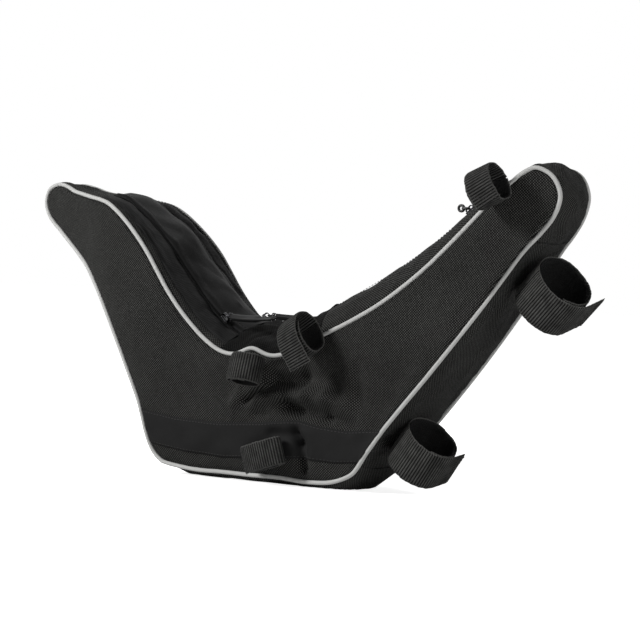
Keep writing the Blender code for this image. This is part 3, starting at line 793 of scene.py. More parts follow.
# Folds of the side panels: start, end (x, z), width, height outwards
PANEL_FOLDS = [
    # The hollow under the V, from the upper side loop to below the middle strap
    ((-0.002, 0.0940), (0.0250, 0.0935), 0.0085, -0.0120),
    ((0.000, 0.1070), (0.0300, 0.1050), 0.0085, -0.0055),
    ((0.030, 0.0960), (0.0600, 0.0975), 0.0080, -0.0055),
    # The ridge over the band
    ((-0.041, 0.0700), (-0.0160, 0.0765), 0.0070, 0.0030),
    ((-0.016, 0.0765), (0.0050, 0.0830), 0.0060, 0.0042),
    ((0.005, 0.0830), (0.0320, 0.0845), 0.0060, 0.0062),
    ((0.032, 0.0845), (0.0530, 0.0815), 0.0065, 0.0052),
    ((0.053, 0.0815), (0.0690, 0.0765), 0.0070, 0.0040),
    ((0.069, 0.0765), (0.0830, 0.0690), 0.0075, 0.0030),
    # The V-shaped fold under the upper side loop
    ((-0.033, 0.0890), (-0.0400, 0.0721), 0.0042, 0.0030),
    ((-0.008, 0.0880), (-0.0293, 0.0738), 0.0032, -0.0075),
    ((-0.022, 0.0920), (-0.0100, 0.0900), 0.0060, 0.0040),
    # The hollow between the ridge and the band
    ((0.012, 0.0720), (0.0250, 0.0680), 0.0055, -0.0120),
    ((0.034, 0.0670), (0.0540, 0.0635), 0.0042, -0.0070),
    ((0.054, 0.0635), (0.0770, 0.0585), 0.0040, -0.0045),
    ((-0.020, 0.0625), (-0.0110, 0.0617), 0.0038, -0.0035),
    # Creases and soft valleys
    ((-0.0435, 0.0780), (-0.0430, 0.0580), 0.0014, 0.0009),
    ((0.083, 0.1127), (0.0858, 0.0698), 0.0045, -0.0024),
    ((0.072, 0.0990), (0.0750, 0.0780), 0.0060, 0.0018),
    ((0.100, 0.1250), (0.1380, 0.1500), 0.0110, -0.0012),
    ((-0.2510, 0.2592), (-0.2522, 0.2338), 0.0014, 0.0010),
    ((-0.205, 0.2442), (-0.1980, 0.2330), 0.0070, -0.0014),
    ((-0.186, 0.2310), (-0.1700, 0.2081), 0.0060, -0.0010),
    # The band's hollows and the fold beside the lower side loop
    ((-0.003, 0.0464), (0.0200, 0.0465), 0.0045, -0.0040),
    ((0.0205, 0.0500), (0.0250, 0.0393), 0.0045, -0.0065),
    ((0.0250, 0.0393), (0.0270, 0.0175), 0.0045, -0.0065),
    ((0.0360, 0.0480), (0.0380, 0.0200), 0.0080, 0.0020),
    ((0.056, 0.0170), (0.0620, 0.0165), 0.0040, -0.0022),
    ((0.082, 0.0271), (0.0930, 0.0264), 0.0040, -0.0018),
]


def panel_grid():
    """Positions from the tail to the nose and rows from the top edge to the bottom edge."""
    fine = np.linspace(0.0, TAIL_TIP - NOSE_TIP, 900)
    top, low = seam.at(TAIL_TIP + fine)[0], seam.at(TAIL_TIP - fine)[0]
    steps = [np.linalg.norm(np.diff(line, axis=0), axis=1) for line in (top, low)]
    run = np.concatenate([[0.0], np.cumsum(np.maximum(*steps))])
    t = np.interp(np.linspace(0.0, run[-1], round(run[-1] / PANEL_STEP)), run, fine)
    ease = np.linspace(-1.0, 1.0, PANEL_ROWS + 1)
    v = 0.5 + 0.5 * np.sin(ease * math.pi / 2.0)
    return t, 0.5 * (v + np.linspace(0.0, 1.0, PANEL_ROWS + 1))


def panel_points(side):
    """Points of a side panel's outer face and how far each lies from the nearest sewn edge."""
    t, v = panel_grid()
    top, top_out, top_half, _ = seam.at(TAIL_TIP + t)
    low, low_out, low_half, _ = seam.at(TAIL_TIP - t)
    high_edge = top + top_out * (hump(top, top_out, side) - PANEL_INSET)[:, None]
    low_edge = low + low_out * (hump(low, low_out, side) - PANEL_INSET)[:, None]
    span = np.linalg.norm(high_edge - low_edge, axis=1)
    fullness = np.minimum(1.0, span / PILLOW_SPAN)[:, None]
    points = high_edge[:, None] + (low_edge - high_edge)[:, None] * v[None, :, None]
    half = top_half[:, None] + (low_half - top_half)[:, None] * v[None]
    pillow = PANEL_PILLOW * fullness * np.sin(math.pi * v)[None] ** 0.75
    distance = np.minimum(v, 1.0 - v)[None] * span[:, None]
    middle = 0.5 * (top + low)
    tip = np.minimum(run_lengths(middle), run_lengths(middle[::-1])[::-1])[:, None]
    distance = np.minimum(distance, tip + 0.0005)
    tuck = -EDGE_TUCK * np.exp(-((distance / TUCK_WIDTH) ** 2))
    inward = 1.0 - np.exp(-((distance / 0.010) ** 2))
    relief = 0.0007 * waves(points, 0.10, 2.0) + 0.0003 * waves(points, 0.035, 5.0)
    relief += creases(points, 11, 26, 0.045, 0.0055, 0.0011)
    near_edge = np.exp(-((distance / 0.008) ** 2)) * (1.0 - np.exp(-distance / 0.001))
    pucker = 0.0005 * waves(points, 0.012, 9.0) * near_edge
    points[..., 1] = side * (half + PANEL_RISE + pillow + tuck + relief * inward + pucker)
    return points, distance


def settle(points, distance):
    """Lets the cloth of a side panel slacken between its seams, in a cloth simulation."""
    n, m = points.shape[:2]
    mesh = bpy.data.meshes.new("cloth")
    mesh.from_pydata([tuple(p) for p in points.reshape(-1, 3)], [], grid_quads(n, m).tolist())
    item = bpy.data.objects.new("cloth", mesh)
    bpy.context.scene.collection.objects.link(item)
    held = np.exp(-((distance / HELD_EDGE) ** 2))
    for start, end in HELD_LINES:
        held = np.maximum(held, segment_fall(points[..., [0, 2]], start, end, HELD_WIDTH))
    held = np.where(held > HELD_FULL, 1.0, held * HELD_SHARE)
    group = item.vertex_groups.new(name="held")
    for k, weight in enumerate(held.ravel()):
        if weight > 0.01:
            group.add([k], float(weight), "REPLACE")
    cloth = item.modifiers.new("cloth", "CLOTH")
    settings = cloth.settings
    settings.quality = 6
    settings.mass = 0.15
    settings.tension_stiffness = 20.0
    settings.compression_stiffness = 12.0
    settings.shear_stiffness = 6.0
    settings.bending_stiffness = 0.25
    settings.air_damping = 2.0
    settings.vertex_group_mass = "held"
    settings.pin_stiffness = 1.0
    settings.shrink_min = CLOTH_GROWTH
    settings.effector_weights.gravity = CLOTH_GRAVITY
    cloth.collision_settings.use_collision = False
    scene = bpy.context.scene
    for number in range(1, CLOTH_FRAMES + 1):
        scene.frame_set(number)
    result = item.evaluated_get(bpy.context.evaluated_depsgraph_get()).to_mesh()
    settled = np.array([v.co for v in result.vertices]).reshape(n, m, 3)
    bpy.data.objects.remove(item)
    scene.frame_set(1)
    shift = settled - points
    length = np.linalg.norm(shift, axis=-1, keepdims=True)
    return points + shift * np.minimum(1.0, CLOTH_CAP / np.maximum(length, 1e-9))


def folded(points, distance, side):
    """The panel's points with the photo's own folds, which cloth without inner stitching wouldn't show."""
    relief = fold_relief(points[..., [0, 2]], PANEL_FOLDS)
    points = points.copy()
    points[..., 1] += side * relief * (1.0 - np.exp(-((distance / 0.008) ** 2)))
    return points


SIDES = (("right", -1.0), ("left", 1.0))
PANELS = {}
PANEL_TREES = {}
for _, side in SIDES:
    points, distance = panel_points(side)
    points = folded(settle(points, distance), distance, side)
    PANELS[side] = (points, distance)
    PANEL_TREES[side] = BVHTree.FromPolygons([Vector(p) for p in points.reshape(-1, 3)],
                                             grid_quads(*points.shape[:2]).tolist())


def touch(side, x, z):
    """The place on a side panel's outer face at x and z, or None beside it."""
    return PANEL_TREES[side].ray_cast(Vector((x, side * 0.2, z)), Vector((0.0, -side, 0.0)))[0]


def side_panels():
    for label, side in SIDES:
        points, distance = PANELS[side]
        outward = np.array([0.0, side, 0.0])
        normals = grid_normals(points, outward)
        inner = points - outward * PANEL_WALL * np.minimum(1.0, distance / 0.004 + 0.25)[..., None]
        item = shell("panel_" + label, points, inner, CANVAS, points[..., [0, 2]])
        put(item, "bag", ["side_panel_" + label])
        rows = [(points[4:-4, r] + normals[4:-4, r] * STITCH_LIFT, normals[4:-4, r]) for r in (3, -4)]
        put(stitch_line("panel_stitches_" + label, rows, DARK_THREAD), "bag")


def foam_boards():
    for label, side in SIDES:
        points, distance = PANELS[side]
        rows = np.nonzero(panel_grid()[1] > 0.04)[0]
        low, high = rows[0], PANEL_ROWS + 1 - rows[0]
        points, distance = points[8:-8, low:high], distance[8:-8, low:high]
        outward = np.array([0.0, side, 0.0])
        outer = points - outward * FOAM_DEPTH
        edge_round = np.minimum(1.0, distance / 0.008 + 0.2)[..., None]
        inner = outer - outward * FOAM_WALL * edge_round
        item = put(shell("foam_" + label, outer, inner, LINING, points[..., [0, 2]]), "bag",
                   ["foam_board_" + label])


# The band's edges in the side view, from the rear to the front
BAND_TOP = [(-0.1510, 0.0590), (-0.1070, 0.0535), (-0.0580, 0.0523), (-0.0160, 0.0553), (0.0100, 0.0590),
            (0.0250, 0.0600), (0.0460, 0.0562), (0.0710, 0.0540), (0.1200, 0.0590)]
BAND_BOTTOM = [(-0.1400, 0.0275), (-0.1228, 0.0255), (-0.0960, 0.0225), (-0.0560, 0.0205), (0.0250, 0.0260),
               (0.0570, 0.0245), (0.0900, 0.0274)]
BAND_SPAN = (-0.165, 0.135)


def side_view_line(points, x):
    return np.interp(x, [p[0] for p in points], [p[1] for p in points])


def bands():
    """The smooth bands, each laid over its panel between two gently bent lines."""
    for label, side in SIDES:
        tries = np.linspace(*BAND_SPAN, 400)
        ends = []
        for line in (BAND_TOP, BAND_BOTTOM):
            inside = [x for x, z in zip(tries, side_view_line(line, tries)) if touch(side, x, z)]
            ends.append((min(inside), max(inside)))
        rows = np.linspace(0.0, 1.0, 17)
        grid = np.zeros((141, len(rows), 3))
        for j, share in enumerate(rows):
            rear, front = (a + (b - a) * share for a, b in zip(*ends))
            x = np.linspace(rear, front, len(grid))
            z = side_view_line(BAND_TOP, x) * (1 - share) + side_view_line(BAND_BOTTOM, x) * share
            for i in range(len(grid)):
                hit = touch(side, x[i], z[i])
                grid[i, j] = (x[i], hit.y if hit else grid[max(i - 1, 0), j, 1], z[i])
        outward = np.array([0.0, side, 0.0])
        hem = np.exp(-((np.minimum(rows, 1.0 - rows) * 0.032 / 0.0022) ** 2))[None, :, None]
        outer = grid + (BAND_RISE - BAND_HEM * hem) * outward
        item = shell("band_" + label, outer, grid - BAND_DEPTH * outward, BAND_CLOTH, outer[..., [0, 2]])
        put(item, "bag", ["lower_band_" + label])
        normals = grid_normals(outer, outward)
        paths = [(outer[:, r] + normals[:, r] * STITCH_LIFT, normals[:, r]) for r in (1, -2)]
        put(stitch_line("band_stitches_" + label, paths, THREAD), "bag")


def pipings():
    for label, side in SIDES:
        positions = seam.stations(0.0, seam.length, PIPING_STEP)[:-1]
        place, out, half, _ = seam.at(positions)
        path = place + out * hump(place, out, side)[:, None]
        path[:, 1] = side * half
        item = tube("piping_cord_" + label, path, CORD_RADIUS, 12, PIPING, closed=True)
        put(item, "bag", ["piping_" + label])


# Folds of the gusset and the lid: start, end, width, height outwards
NOSE_FOLDS = [
    ((0.2584, -0.045, 0.2470), (0.2720, -0.012, 0.2600), 0.0035, 0.0030),
    ((0.2640, -0.040, 0.2440), (0.2790, -0.010, 0.2560), 0.0035, -0.0032),
    ((0.2529, -0.030, 0.2858), (0.2650, -0.005, 0.2860), 0.0045, -0.0036),
]
FRONT_FOLDS = [
    ((0.0990, -0.040, 0.0440), (0.1060, -0.010, 0.0560), 0.0060, -0.0038),
    ((0.0960, -0.045, 0.0330), (0.1100, -0.010, 0.0380), 0.0045, 0.0028),
    ((0.2100, -0.040, 0.1900), (0.2000, -0.010, 0.1700), 0.0060, 0.0018),
]
LID_FOLDS = [
    ((-0.2208, 0.0, 0.2538), (-0.1407, 0.0, 0.2122), 0.0100, 0.0016),
    ((-0.1036, 0.0, 0.1651), (-0.0595, 0.0, 0.1505), 0.0024, 0.0012),
    ((-0.1300, 0.005, 0.1950), (-0.1000, 0.0, 0.1700), 0.0090, -0.0016),
]


def gussets():
    plan = [
        ("saddle", LID_END, FRONT_ZIP_START, slack(0.03, 0.0012, 1.0, count=40)),
        ("nose", FRONT_ZIP_END, FRONT_GUSSET_START, slack(0.04, 0.0014, 2.5, NOSE_FOLDS, 20)),
        ("front", FRONT_GUSSET_START, FRONT_GUSSET_END, slack(0.07, 0.0012, 3.0, FRONT_FOLDS, 28)),
        ("bottom", FRONT_GUSSET_END, BOTTOM_GUSSET_END, slack(0.07, 0.0004, 4.0)),
        ("rear", BOTTOM_GUSSET_END, TAIL_GUSSET_START, slack(0.06, 0.0010, 5.0, count=24)),
        ("tail", TAIL_GUSSET_START, seam.length + LID_START, slack(0.05, 0.0007, 6.0)),
    ]
    for name, start, end, relief in plan:
        # The saddle gets the darker canvas, which is painted shade.
        look = SHADED_SADDLE_CANVAS if name == "saddle" else GUSSET_CANVAS
        item = strip("gusset_" + name, start, end, lambda h: -edge(h), edge, look, relief=relief)
        put(item, "bag", [name + "_gusset"])


def lid_bend(item):
    """Bakes a lid piece's placement into its mesh; the places just past and at the hinge line are read but
    not used.
    """
    ahead, here = seam.at(np.array([LID_START + 0.75, LID_START]))[0]
    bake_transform(item)


def zip_row(name, start, end, line, side, offset, rise):
    """One row of zip teeth beside a line that gives y from a half width. offset shifts it to one side."""
    positions = seam.stations(start, end, TOOTH_PITCH)
    positions = positions[:-1] if offset > 0 else 0.5 * (positions[:-1] + positions[1:])
    _, out, half, _ = seam.at(positions)
    middle = side * line(half) + offset
    across = middle[:, None] + np.array([-0.001, 0.0, 0.001])[None]
    points = face(positions, across, rise)
    ways = points[:, 2] - points[:, 0]
    along = np.gradient(points[:, 1], axis=0)
    ups = unit(np.cross(along, ways))
    ups *= np.sign((ups * out).sum(-1))[:, None]
    return beads(name, points[:, 1], ways, ups, TOOTH_HALF_LENGTH, TOOTH_HALF_WIDTH, TOOTH_HALF_HEIGHT, COIL)


def line_on_face(start, end, across_of, rise):
    """Points along the gusset at a y that depends on the half width, and the directions off it."""
    positions = seam.stations(start, end, 0.003)
    _, out, half, _ = seam.at(positions)
    return face(positions, across_of(half)[:, None], rise)[:, 0], out


def lids():
    """The lid, the strips beside it and its two zips."""
    def lid_relief(points, share, positions):
        near_zip = np.exp(-(((LID_ZIP_SHARE - np.abs(share)) / 0.05) ** 2))
        rolled = np.exp(-(((LID_ZIP_SHARE - 0.09 - np.abs(share)) / 0.035) ** 2))
        total = 0.0010 * waves(points, 0.07, 7.0) - 0.0018 * near_zip + 0.0020 * rolled
        total += fold_relief(points, LID_FOLDS)
        return total + creases(points, 70, 18, 0.035, 0.0035, 0.0009)

    def seam_dip(share):
        return -0.0010 * np.exp(-(((np.abs(share) - LID_SEAM_SHARE) / 0.020) ** 2))

    def rim_relief(points, share, positions):
        return 0.0004 * waves(points, 0.03, 8.0) + seam_dip(share) + edge_fall(share, 0.04)

    def tape_relief(points, share, positions):
        along = np.exp(-(((positions - 4.6) / 1.1) ** 2))[:, None]
        groove = np.exp(-(((np.abs(share) - 0.80) / 0.035) ** 2)) * along
        near_zip = np.exp(-(((np.abs(share) - LID_ZIP_SHARE) / 0.05) ** 2))
        total = 0.0006 * waves(points, 0.035, 8.0) - 0.0030 * groove - 0.0014 * near_zip + seam_dip(share)
        return total + creases(points, 80, 16, 0.05, 0.0028, 0.0014)

    def lid_strip(name, low, high, look, **more):
        return strip(name, LID_START, LID_END, low, high, look, **more)

    inner_edge = share_of(LID_ZIP_SHARE, -ZIP_SLIT)
    outer_edge = share_of(LID_ZIP_SHARE, ZIP_SLIT)
    lid = lid_strip("lid_cloth", lambda h: -inner_edge(h), inner_edge, SMOOTH, relief=lid_relief)
    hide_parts("lid_panel")
    lid_bend(lid)
    for label, side in SIDES:
        low, high = on_side(side, share_of(LID_SEAM_SHARE - 0.005), edge)
        item = lid_strip("lid_rim_cloth_" + label, low, high, GUSSET_CANVAS, relief=rim_relief, step=0.0018)
        put(item, "bag", ["lid_rim_" + label])
        low, high = on_side(side, outer_edge, share_of(LID_SEAM_SHARE + 0.004))
        tape = lid_strip("lid_zip_tape_outer_" + label, low, high, TAPE, rise=-0.0001, relief=tape_relief,
                         step=0.0016)
        put(tape, "bag", ["lid_zip_chain_" + label])
        low, high = on_side(side, share_of(LID_ZIP_SHARE, -2.2 * ZIP_HALF), share_of(LID_ZIP_SHARE, -0.0001))
        tape = lid_strip("lid_zip_tape_inner_" + label, low, high, TAPE, rise=-0.0026, wall=0.0006)
        lid_bend(tape)
        for word, offset in (("outer", side * TOOTH_OFFSET), ("inner", -side * TOOTH_OFFSET)):
            name = "lid_zip_teeth_%s_%s" % (word, label)
            teeth = zip_row(name, LID_START, LID_END, share_of(LID_ZIP_SHARE), side, offset, -0.0009)
            if word == "outer":
                put(teeth, "bag")
            else:
                lid_bend(teeth)
        path = line_on_face(LID_START, LID_END, share_of(side * (LID_SEAM_SHARE + 0.03)), 0.0002)
        put(stitch_line("lid_rim_stitches_" + label, [path], DARK_THREAD), "bag")
        path = line_on_face(LID_START, LID_END, share_of(side * LID_ZIP_SHARE, -side * 0.0085), 0.0006)
        row = stitch_line("lid_stitches_" + label, [path], DARK_THREAD)
        lid_bend(row)


def front_zip():
    """The strips and the zip on top of the front arm."""
    def relief(points, share, positions):
        near_zip = np.exp(-((np.abs(points[..., 1]) / 0.006) ** 2))
        pucker = np.exp(-(((1.0 - np.abs(share)) / 0.25) ** 2))
        total = 0.0006 * waves(points, 0.05, 9.0) + creases(points, 90, 16, 0.03, 0.0035, 0.0009)
        total = total * (1.0 - near_zip) + 0.0005 * waves(points, 0.012, 3.0) * pucker
        return total - 0.0003 * near_zip + edge_fall(share)

    for label, side in SIDES:
        low, high = on_side(side, level_line(ZIP_SLIT), edge)
        item = strip("top_cloth_" + label, FRONT_ZIP_START, FRONT_ZIP_END, low, high, GUSSET_CANVAS,
                     relief=relief)
        put(item, "bag", ["top_gusset_" + label])
        teeth = zip_row("front_zip_teeth_" + label, FRONT_ZIP_START, FRONT_ZIP_END, level_line(0.0), side,
                        side * TOOTH_OFFSET, -0.0011)
        put(teeth, "bag")
        path = line_on_face(FRONT_ZIP_START, FRONT_ZIP_END, level_line(side * 0.0060), 0.0003)
        put(stitch_line("top_stitches_" + label, [path], DARK_THREAD), "bag")
    tape = strip("front_zip_tape", FRONT_ZIP_START, FRONT_ZIP_END, level_line(-2.0 * ZIP_HALF),
                 level_line(2.0 * ZIP_HALF), TAPE, rise=-0.0022, wall=0.0006)
    put(tape, "bag", ["front_zip_chain"])


def turned(vector, axis, degrees):
    """The vector turned about an axis."""
    return np.array(Matrix.Rotation(math.radians(degrees), 3, Vector(axis)) @ Vector(vector))


class Loop:
    """A strap loop: an oval of webbing on a surface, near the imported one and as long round.

    oval is its half depth, half breadth, sense, base, flap end and ring end in degrees, and tail.
    fit turns it by degrees about its out and across directions, and moves it along out, axis and across.
    """

    def __init__(self, name, root, axis, out, width, oval, fit, drift):
        self.name = name
        self.body = name.replace("strap_", "").replace("loop_", "") + "_flap"
        out = unit(np.asarray(out, float))
        axis = np.asarray(axis, float)
        axis = unit(axis - out * (axis @ out))
        self.reach, self.spread, sense, base, flap_end, ring_end, self.tail = oval
        twist, lean, *shift = fit
        self.across = turned(np.cross(out, axis) * sense, out, twist)
        self.axis = turned(turned(axis, out, twist), self.across, lean)
        self.out = turned(out, self.across, lean)
        shift = shift[0] * self.out + shift[1] * self.axis + shift[2] * self.across
        self.root = np.asarray(root, float) + shift + self.out * (GAP + 0.5 * WEB_WALL)
        self.width = width
        self.drift = drift
        self.look = WIDE_WEBBING if width == WIDE_WEB else NARROW_WEBBING
        self.base, self.flap_end, self.ring_end = (math.radians(a) for a in (base, flap_end, ring_end))
        self.size = 0.5 * (self.reach + self.spread)
        self.lift = GAP / min(self.reach, self.spread)

    def path(self, angles, depth, tail=0.0):
        """Points of the webbing's middle line, the directions away from the oval's middle, and the angles."""
        sine, cosine = np.sin(angles), np.cos(angles)
        flat = np.stack([self.spread * sine, self.reach * (1.0 - cosine)], -1)
        normal = unit(np.stack([self.reach * sine, -self.spread * cosine], -1))
        flat = flat - normal * np.broadcast_to(depth, len(angles))[:, None]
        if tail:
            way = unit(np.array([self.spread * cosine[-1], self.reach * sine[-1]]))
            steps = np.linspace(0.0, tail, max(2, int(tail / WEB_STEP)))[1:]
            flat = np.concatenate([flat, flat[-1] + steps[:, None] * way])
            normal = np.concatenate([normal, np.repeat(normal[-1:], len(steps), 0)])
            angles = np.concatenate([angles, angles[-1] + steps / self.size])
        points = self.root + flat[:, :1] * self.across + flat[:, 1:] * self.out
        return points, normal[:, :1] * self.across + normal[:, 1:] * self.out, angles

    def slide(self, angles):
        """How far the flap has wandered along the loop's axis at each angle."""
        start = self.base + FLAP_START * self.lift
        whole = self.flap_end + self.tail / self.size - start
        return self.drift * np.clip((angles - start) / whole, 0.0, 1.0) ** 2

    def strap(self, name, angles, depth, wall, width, look, tail=0.0, drift=False, ribs=RIB_DEPTH):
        """A ribbed strip of webbing. drift lets it wander along the loop's axis as the flap does."""
        points, normals, angles = self.path(angles, depth, tail)
        run = run_lengths(points)
        if drift:
            points = points + self.axis * self.slide(angles)[:, None]
        share = np.linspace(-1.0, 1.0, 15)
        bulge = (1.0 - np.abs(share) ** 10) ** 0.5
        rib = 0.5 - 0.5 * np.cos(TAU * run / RIB_PITCH)
        top = 0.5 * wall * bulge[None] + ribs * (rib[:, None] - 1.0) * bulge[None]
        along = np.concatenate([share, share[::-1][1:-1]])
        height = np.concatenate([top, -top[:, ::-1][:, 1:-1]], 1)
        half = 0.5 * width + 0.00025 * ribs / RIB_DEPTH * waves(points, 0.007, self.size * 900.0)
        way = unit(np.gradient(points, axis=0))
        aside = unit(self.axis - way * (way @ self.axis)[:, None])
        rings = points[:, None] + aside[:, None] * (half[:, None] * along[None])[..., None]
        rings = rings + normals[:, None] * height[..., None]
        uvs = np.stack(np.broadcast_arrays(run[:, None], (0.5 * width * along)[None]), -1)
        return sweep(name, rings, look, uvs)

    def hem(self, angles):
        """Stitches of the flap's turned end: two rows across it and a cross between them."""
        points, normals, angles = self.path(angles, 0.0, self.tail)
        points = points + self.axis * self.slide(angles)[:, None] + normals * (0.5 * WEB_WALL + STITCH_LIFT)
        run = run_lengths(points)[-1] - run_lengths(points)
        reach = 0.5 * self.width - 0.0025

        def spot(back, across):
            place = np.array([np.interp(back, run[::-1], points[::-1, k]) for k in range(3)])
            over = np.array([np.interp(back, run[::-1], normals[::-1, k]) for k in range(3)])
            return place + self.axis * across, over

        rows = []
        for first, last in (((0.0018, -reach), (0.0018, reach)), ((0.0095, -reach), (0.0095, reach)),
                            ((0.0030, -reach), (0.0085, reach)), ((0.0085, -reach), (0.0030, reach))):
            spots = [spot(first[0] + (last[0] - first[0]) * t, first[1] + (last[1] - first[1]) * t)
                     for t in np.linspace(0.0, 1.0, 12)]
            rows.append((np.array([s[0] for s in spots]), np.array([s[1] for s in spots])))
        return stitch_line(self.name + "_hem", rows, THREAD)

    def spaced(self, start, end, step=WEB_STEP):
        """Angles from start to end, about a step of webbing apart."""
        return np.linspace(start, end, max(8, int(self.size * abs(end - start) / step)))

    def build(self):
        overlap = WEB_WALL + HOOK_WALL + 2.0 * GAP
        ring_angles = self.spaced(self.base, -self.ring_end)
        depth = overlap * np.clip((-ring_angles - self.base) / RAMP, 0.0, 1.0)
        item = self.strap(self.name + "_band", ring_angles, depth, WEB_WALL, self.width, self.look)
        put(item, "bag", [self.name + "_ring"])
        past = ring_angles + SLIT_COVER / self.size * np.linspace(1.0, 0.0, len(ring_angles)) ** 8
        inside = depth + 0.5 * WEB_WALL + 0.4 * LINING_WALL + LINING_CLEAR * (past > self.base)
        item = self.strap(self.name + "_lining", past, inside, LINING_WALL, 0.96 * self.width, PILE, ribs=0.0)
        put(item, "bag")
        angles = self.spaced(self.base + FLAP_START * self.lift, self.flap_end)
        item = self.strap(self.name + "_closing", angles, 0.0, WEB_WALL, self.width, self.look,
                          tail=self.tail, drift=True)
        put(item, self.body, [self.name + "_flap"])
        put(self.hem(angles), self.body)
        angles = self.spaced(TAU - self.ring_end + 2.0 * self.lift, self.flap_end, HOOK_STEP)
        depth = 0.5 * (WEB_WALL + HOOK_WALL) + GAP
        item = self.strap(self.name + "_hooks", angles, depth, HOOK_WALL, 0.9 * self.width, HOOKS, drift=True,
                          ribs=0.0)
        put(item, self.body, [self.name + "_hook_pad"])


def perch(position, share):
    """A place on the gusset's face with the directions along, across and away from it."""
    step = 0.02
    positions = np.array([position, position - step, position + step])
    _, _, half, _ = seam.at(positions)
    shares = np.array([share, share - step, share + step])
    points = face(positions, half[:, None] * shares[None])
    along = unit(points[2, 0] - points[1, 0])
    across = points[0, 2] - points[0, 1]
    out = unit(np.cross(along, across))
    return points[0, 0], along, np.cross(out, along), out


# Each loop's oval, its fit to the photo and its flap's drift, as Loop takes them
LOOPS = {
    "top_strap_front": (
        (0.0170, 0.0178, 1.0, 25.0, 200.0, 215.0, 0.0130),
        (-18.0, 2.8, 0.0015, 0.0011, -0.0018),
        0.0044,
    ),
    "top_strap_middle": (
        (0.0155, 0.0210, 1.0, 25.0, 210.0, 215.0, 0.0170),
        (0.3, -7.9, 0.0020, 0.0040, -0.0045),
        -0.0029,
    ),
    "down_strap_upper": (
        (0.0273, 0.0276, -1.0, 50.0, 185.0, 235.0, 0.0260),
        (12.8, -11.8, 0.0, -0.0050, 0.0023),
        -0.0009,
    ),
    "down_strap_lower": (
        (0.0254, 0.0254, -1.0, 50.0, 182.0, 235.0, 0.0160),
        (6.1, 0.0, 0.0, 0.0001, 0.0003),
        -0.0040,
    ),
    "side_loop_upper": (
        (0.0130, 0.0150, -1.0, 45.0, 250.0, 215.0, 0.0060),
        (0.0, -17.0, 0.0020, -0.0045, 0.0),
        0.0,
    ),
    "side_loop_lower": (
        (0.0080, 0.0205, -1.0, 45.0, 250.0, 215.0, 0.0060),
        (0.0, 0.0, 0.0, 0.0, 0.0),
        0.0,
    ),
}


def loops():
    made = []
    for name, position, lean, lift in (
        ("top_strap_front", 14.70, 10.0, 0.0006),
        ("top_strap_middle", 10.85, 12.0, 0.0008),
    ):
        place, out, half, _ = seam.at(np.array([position]))
        slant = math.radians(lean)
        away = np.array([0.0, -math.cos(slant), 0.0]) + out[0] * math.sin(slant)
        root = place[0] + np.array([0.0, -half[0], 0.0]) + away * (PIPING_RADIUS + lift)
        along = np.array([out[0][2], 0.0, -out[0][0]])
        made.append(Loop(name, root, along, away, NARROW_WEB, *LOOPS[name]))
    for name, position, share, lift in (
        ("down_strap_upper", 20.40, 0.0, 0.0004),
        ("down_strap_lower", 22.95, -0.26, 0.0003),
    ):
        place, along, _, out = perch(position, share)
        made.append(Loop(name, place + out * lift, along, out, WIDE_WEB, *LOOPS[name]))
    for name, x, z, axis in (
        ("side_loop_upper", -0.0160, 0.1030, (0.0, 0.0, 1.0)),
        ("side_loop_lower", -0.0055, 0.0275, (-0.31, 0.0, 0.95)),
    ):
        spots = [touch(-1.0, x + axis[0] * step, z + axis[2] * step) for step in (-0.008, 0.0, 0.008)]
        root = (x, min(spot.y for spot in spots) - BAND_RISE, z)
        made.append(Loop(name, root, axis, (0.0, -1.0, 0.0), NARROW_WEB, *LOOPS[name]))
    for loop in made:
        loop.build()


def slider_body(name, place, along, side, out, nodes, body):
    """A cast slider: a shield with a rounded rim, a groove round it and a bail over it."""
    outline = [(-1.0, 0.52), (-0.82, 0.70), (-0.30, 0.76), (0.20, 0.92), (0.62, 1.0), (0.90, 0.82),
               (1.0, 0.45)]
    outline += [(x, -y) for x, y in reversed(outline)]
    flat = np.array(outline) * (0.5 * SLIDER_LENGTH, 0.5 * SLIDER_WIDTH)
    flat = smooth_path(np.vstack([flat, flat[:1]]), 49)[:-1]
    layers = [(0.0, 0.90), (0.0004, 1.0), (0.0009, 1.0), (0.0011, 0.88), (0.0015, 0.88), (0.0017, 1.0),
              (0.0022, 1.0), (0.0026, 0.88)]
    rings = np.array([place + flat[:, :1] * size * along + flat[:, 1:] * size * side + out * height
                      for height, size in layers])
    put(sweep(name, rings, METAL, np.zeros(rings.shape[:2] + (2,))), body, nodes)
    reach = 0.38 * SLIDER_LENGTH
    arch = [(-reach, -0.0004), (-reach, 0.0014), (-0.7 * reach, 0.0028), (0.0, BAIL_TOP - 0.0005),
            (0.7 * reach, 0.0028), (reach, 0.0014), (reach, -0.0004)]
    flat = smooth_path(arch, 25)
    path = place + out * SLIDER_HEIGHT + flat[:, :1] * along + flat[:, 1:] * out
    ups = np.cross(side, unit(np.gradient(path, axis=0)))
    turn = TAU * np.arange(10) / 10
    wide = BAIL_HALF_WIDTH * np.sign(np.cos(turn)) * np.abs(np.cos(turn)) ** 0.7
    high = BAIL_HALF_HEIGHT * np.sin(turn)
    rings = path[:, None] + side * wide[None, :, None] + ups[:, None] * high[None, :, None]
    put(sweep(name + "_bail", rings, METAL, np.zeros(rings.shape[:2] + (2,))), body)


def joint_frame(joint):
    data = next(j for j in frame["joints"] if j["name"] == joint)
    axis = data.get("axis", data.get("axis_m"))
    return np.array(data["pos_m"]), unit(np.array(axis, float))


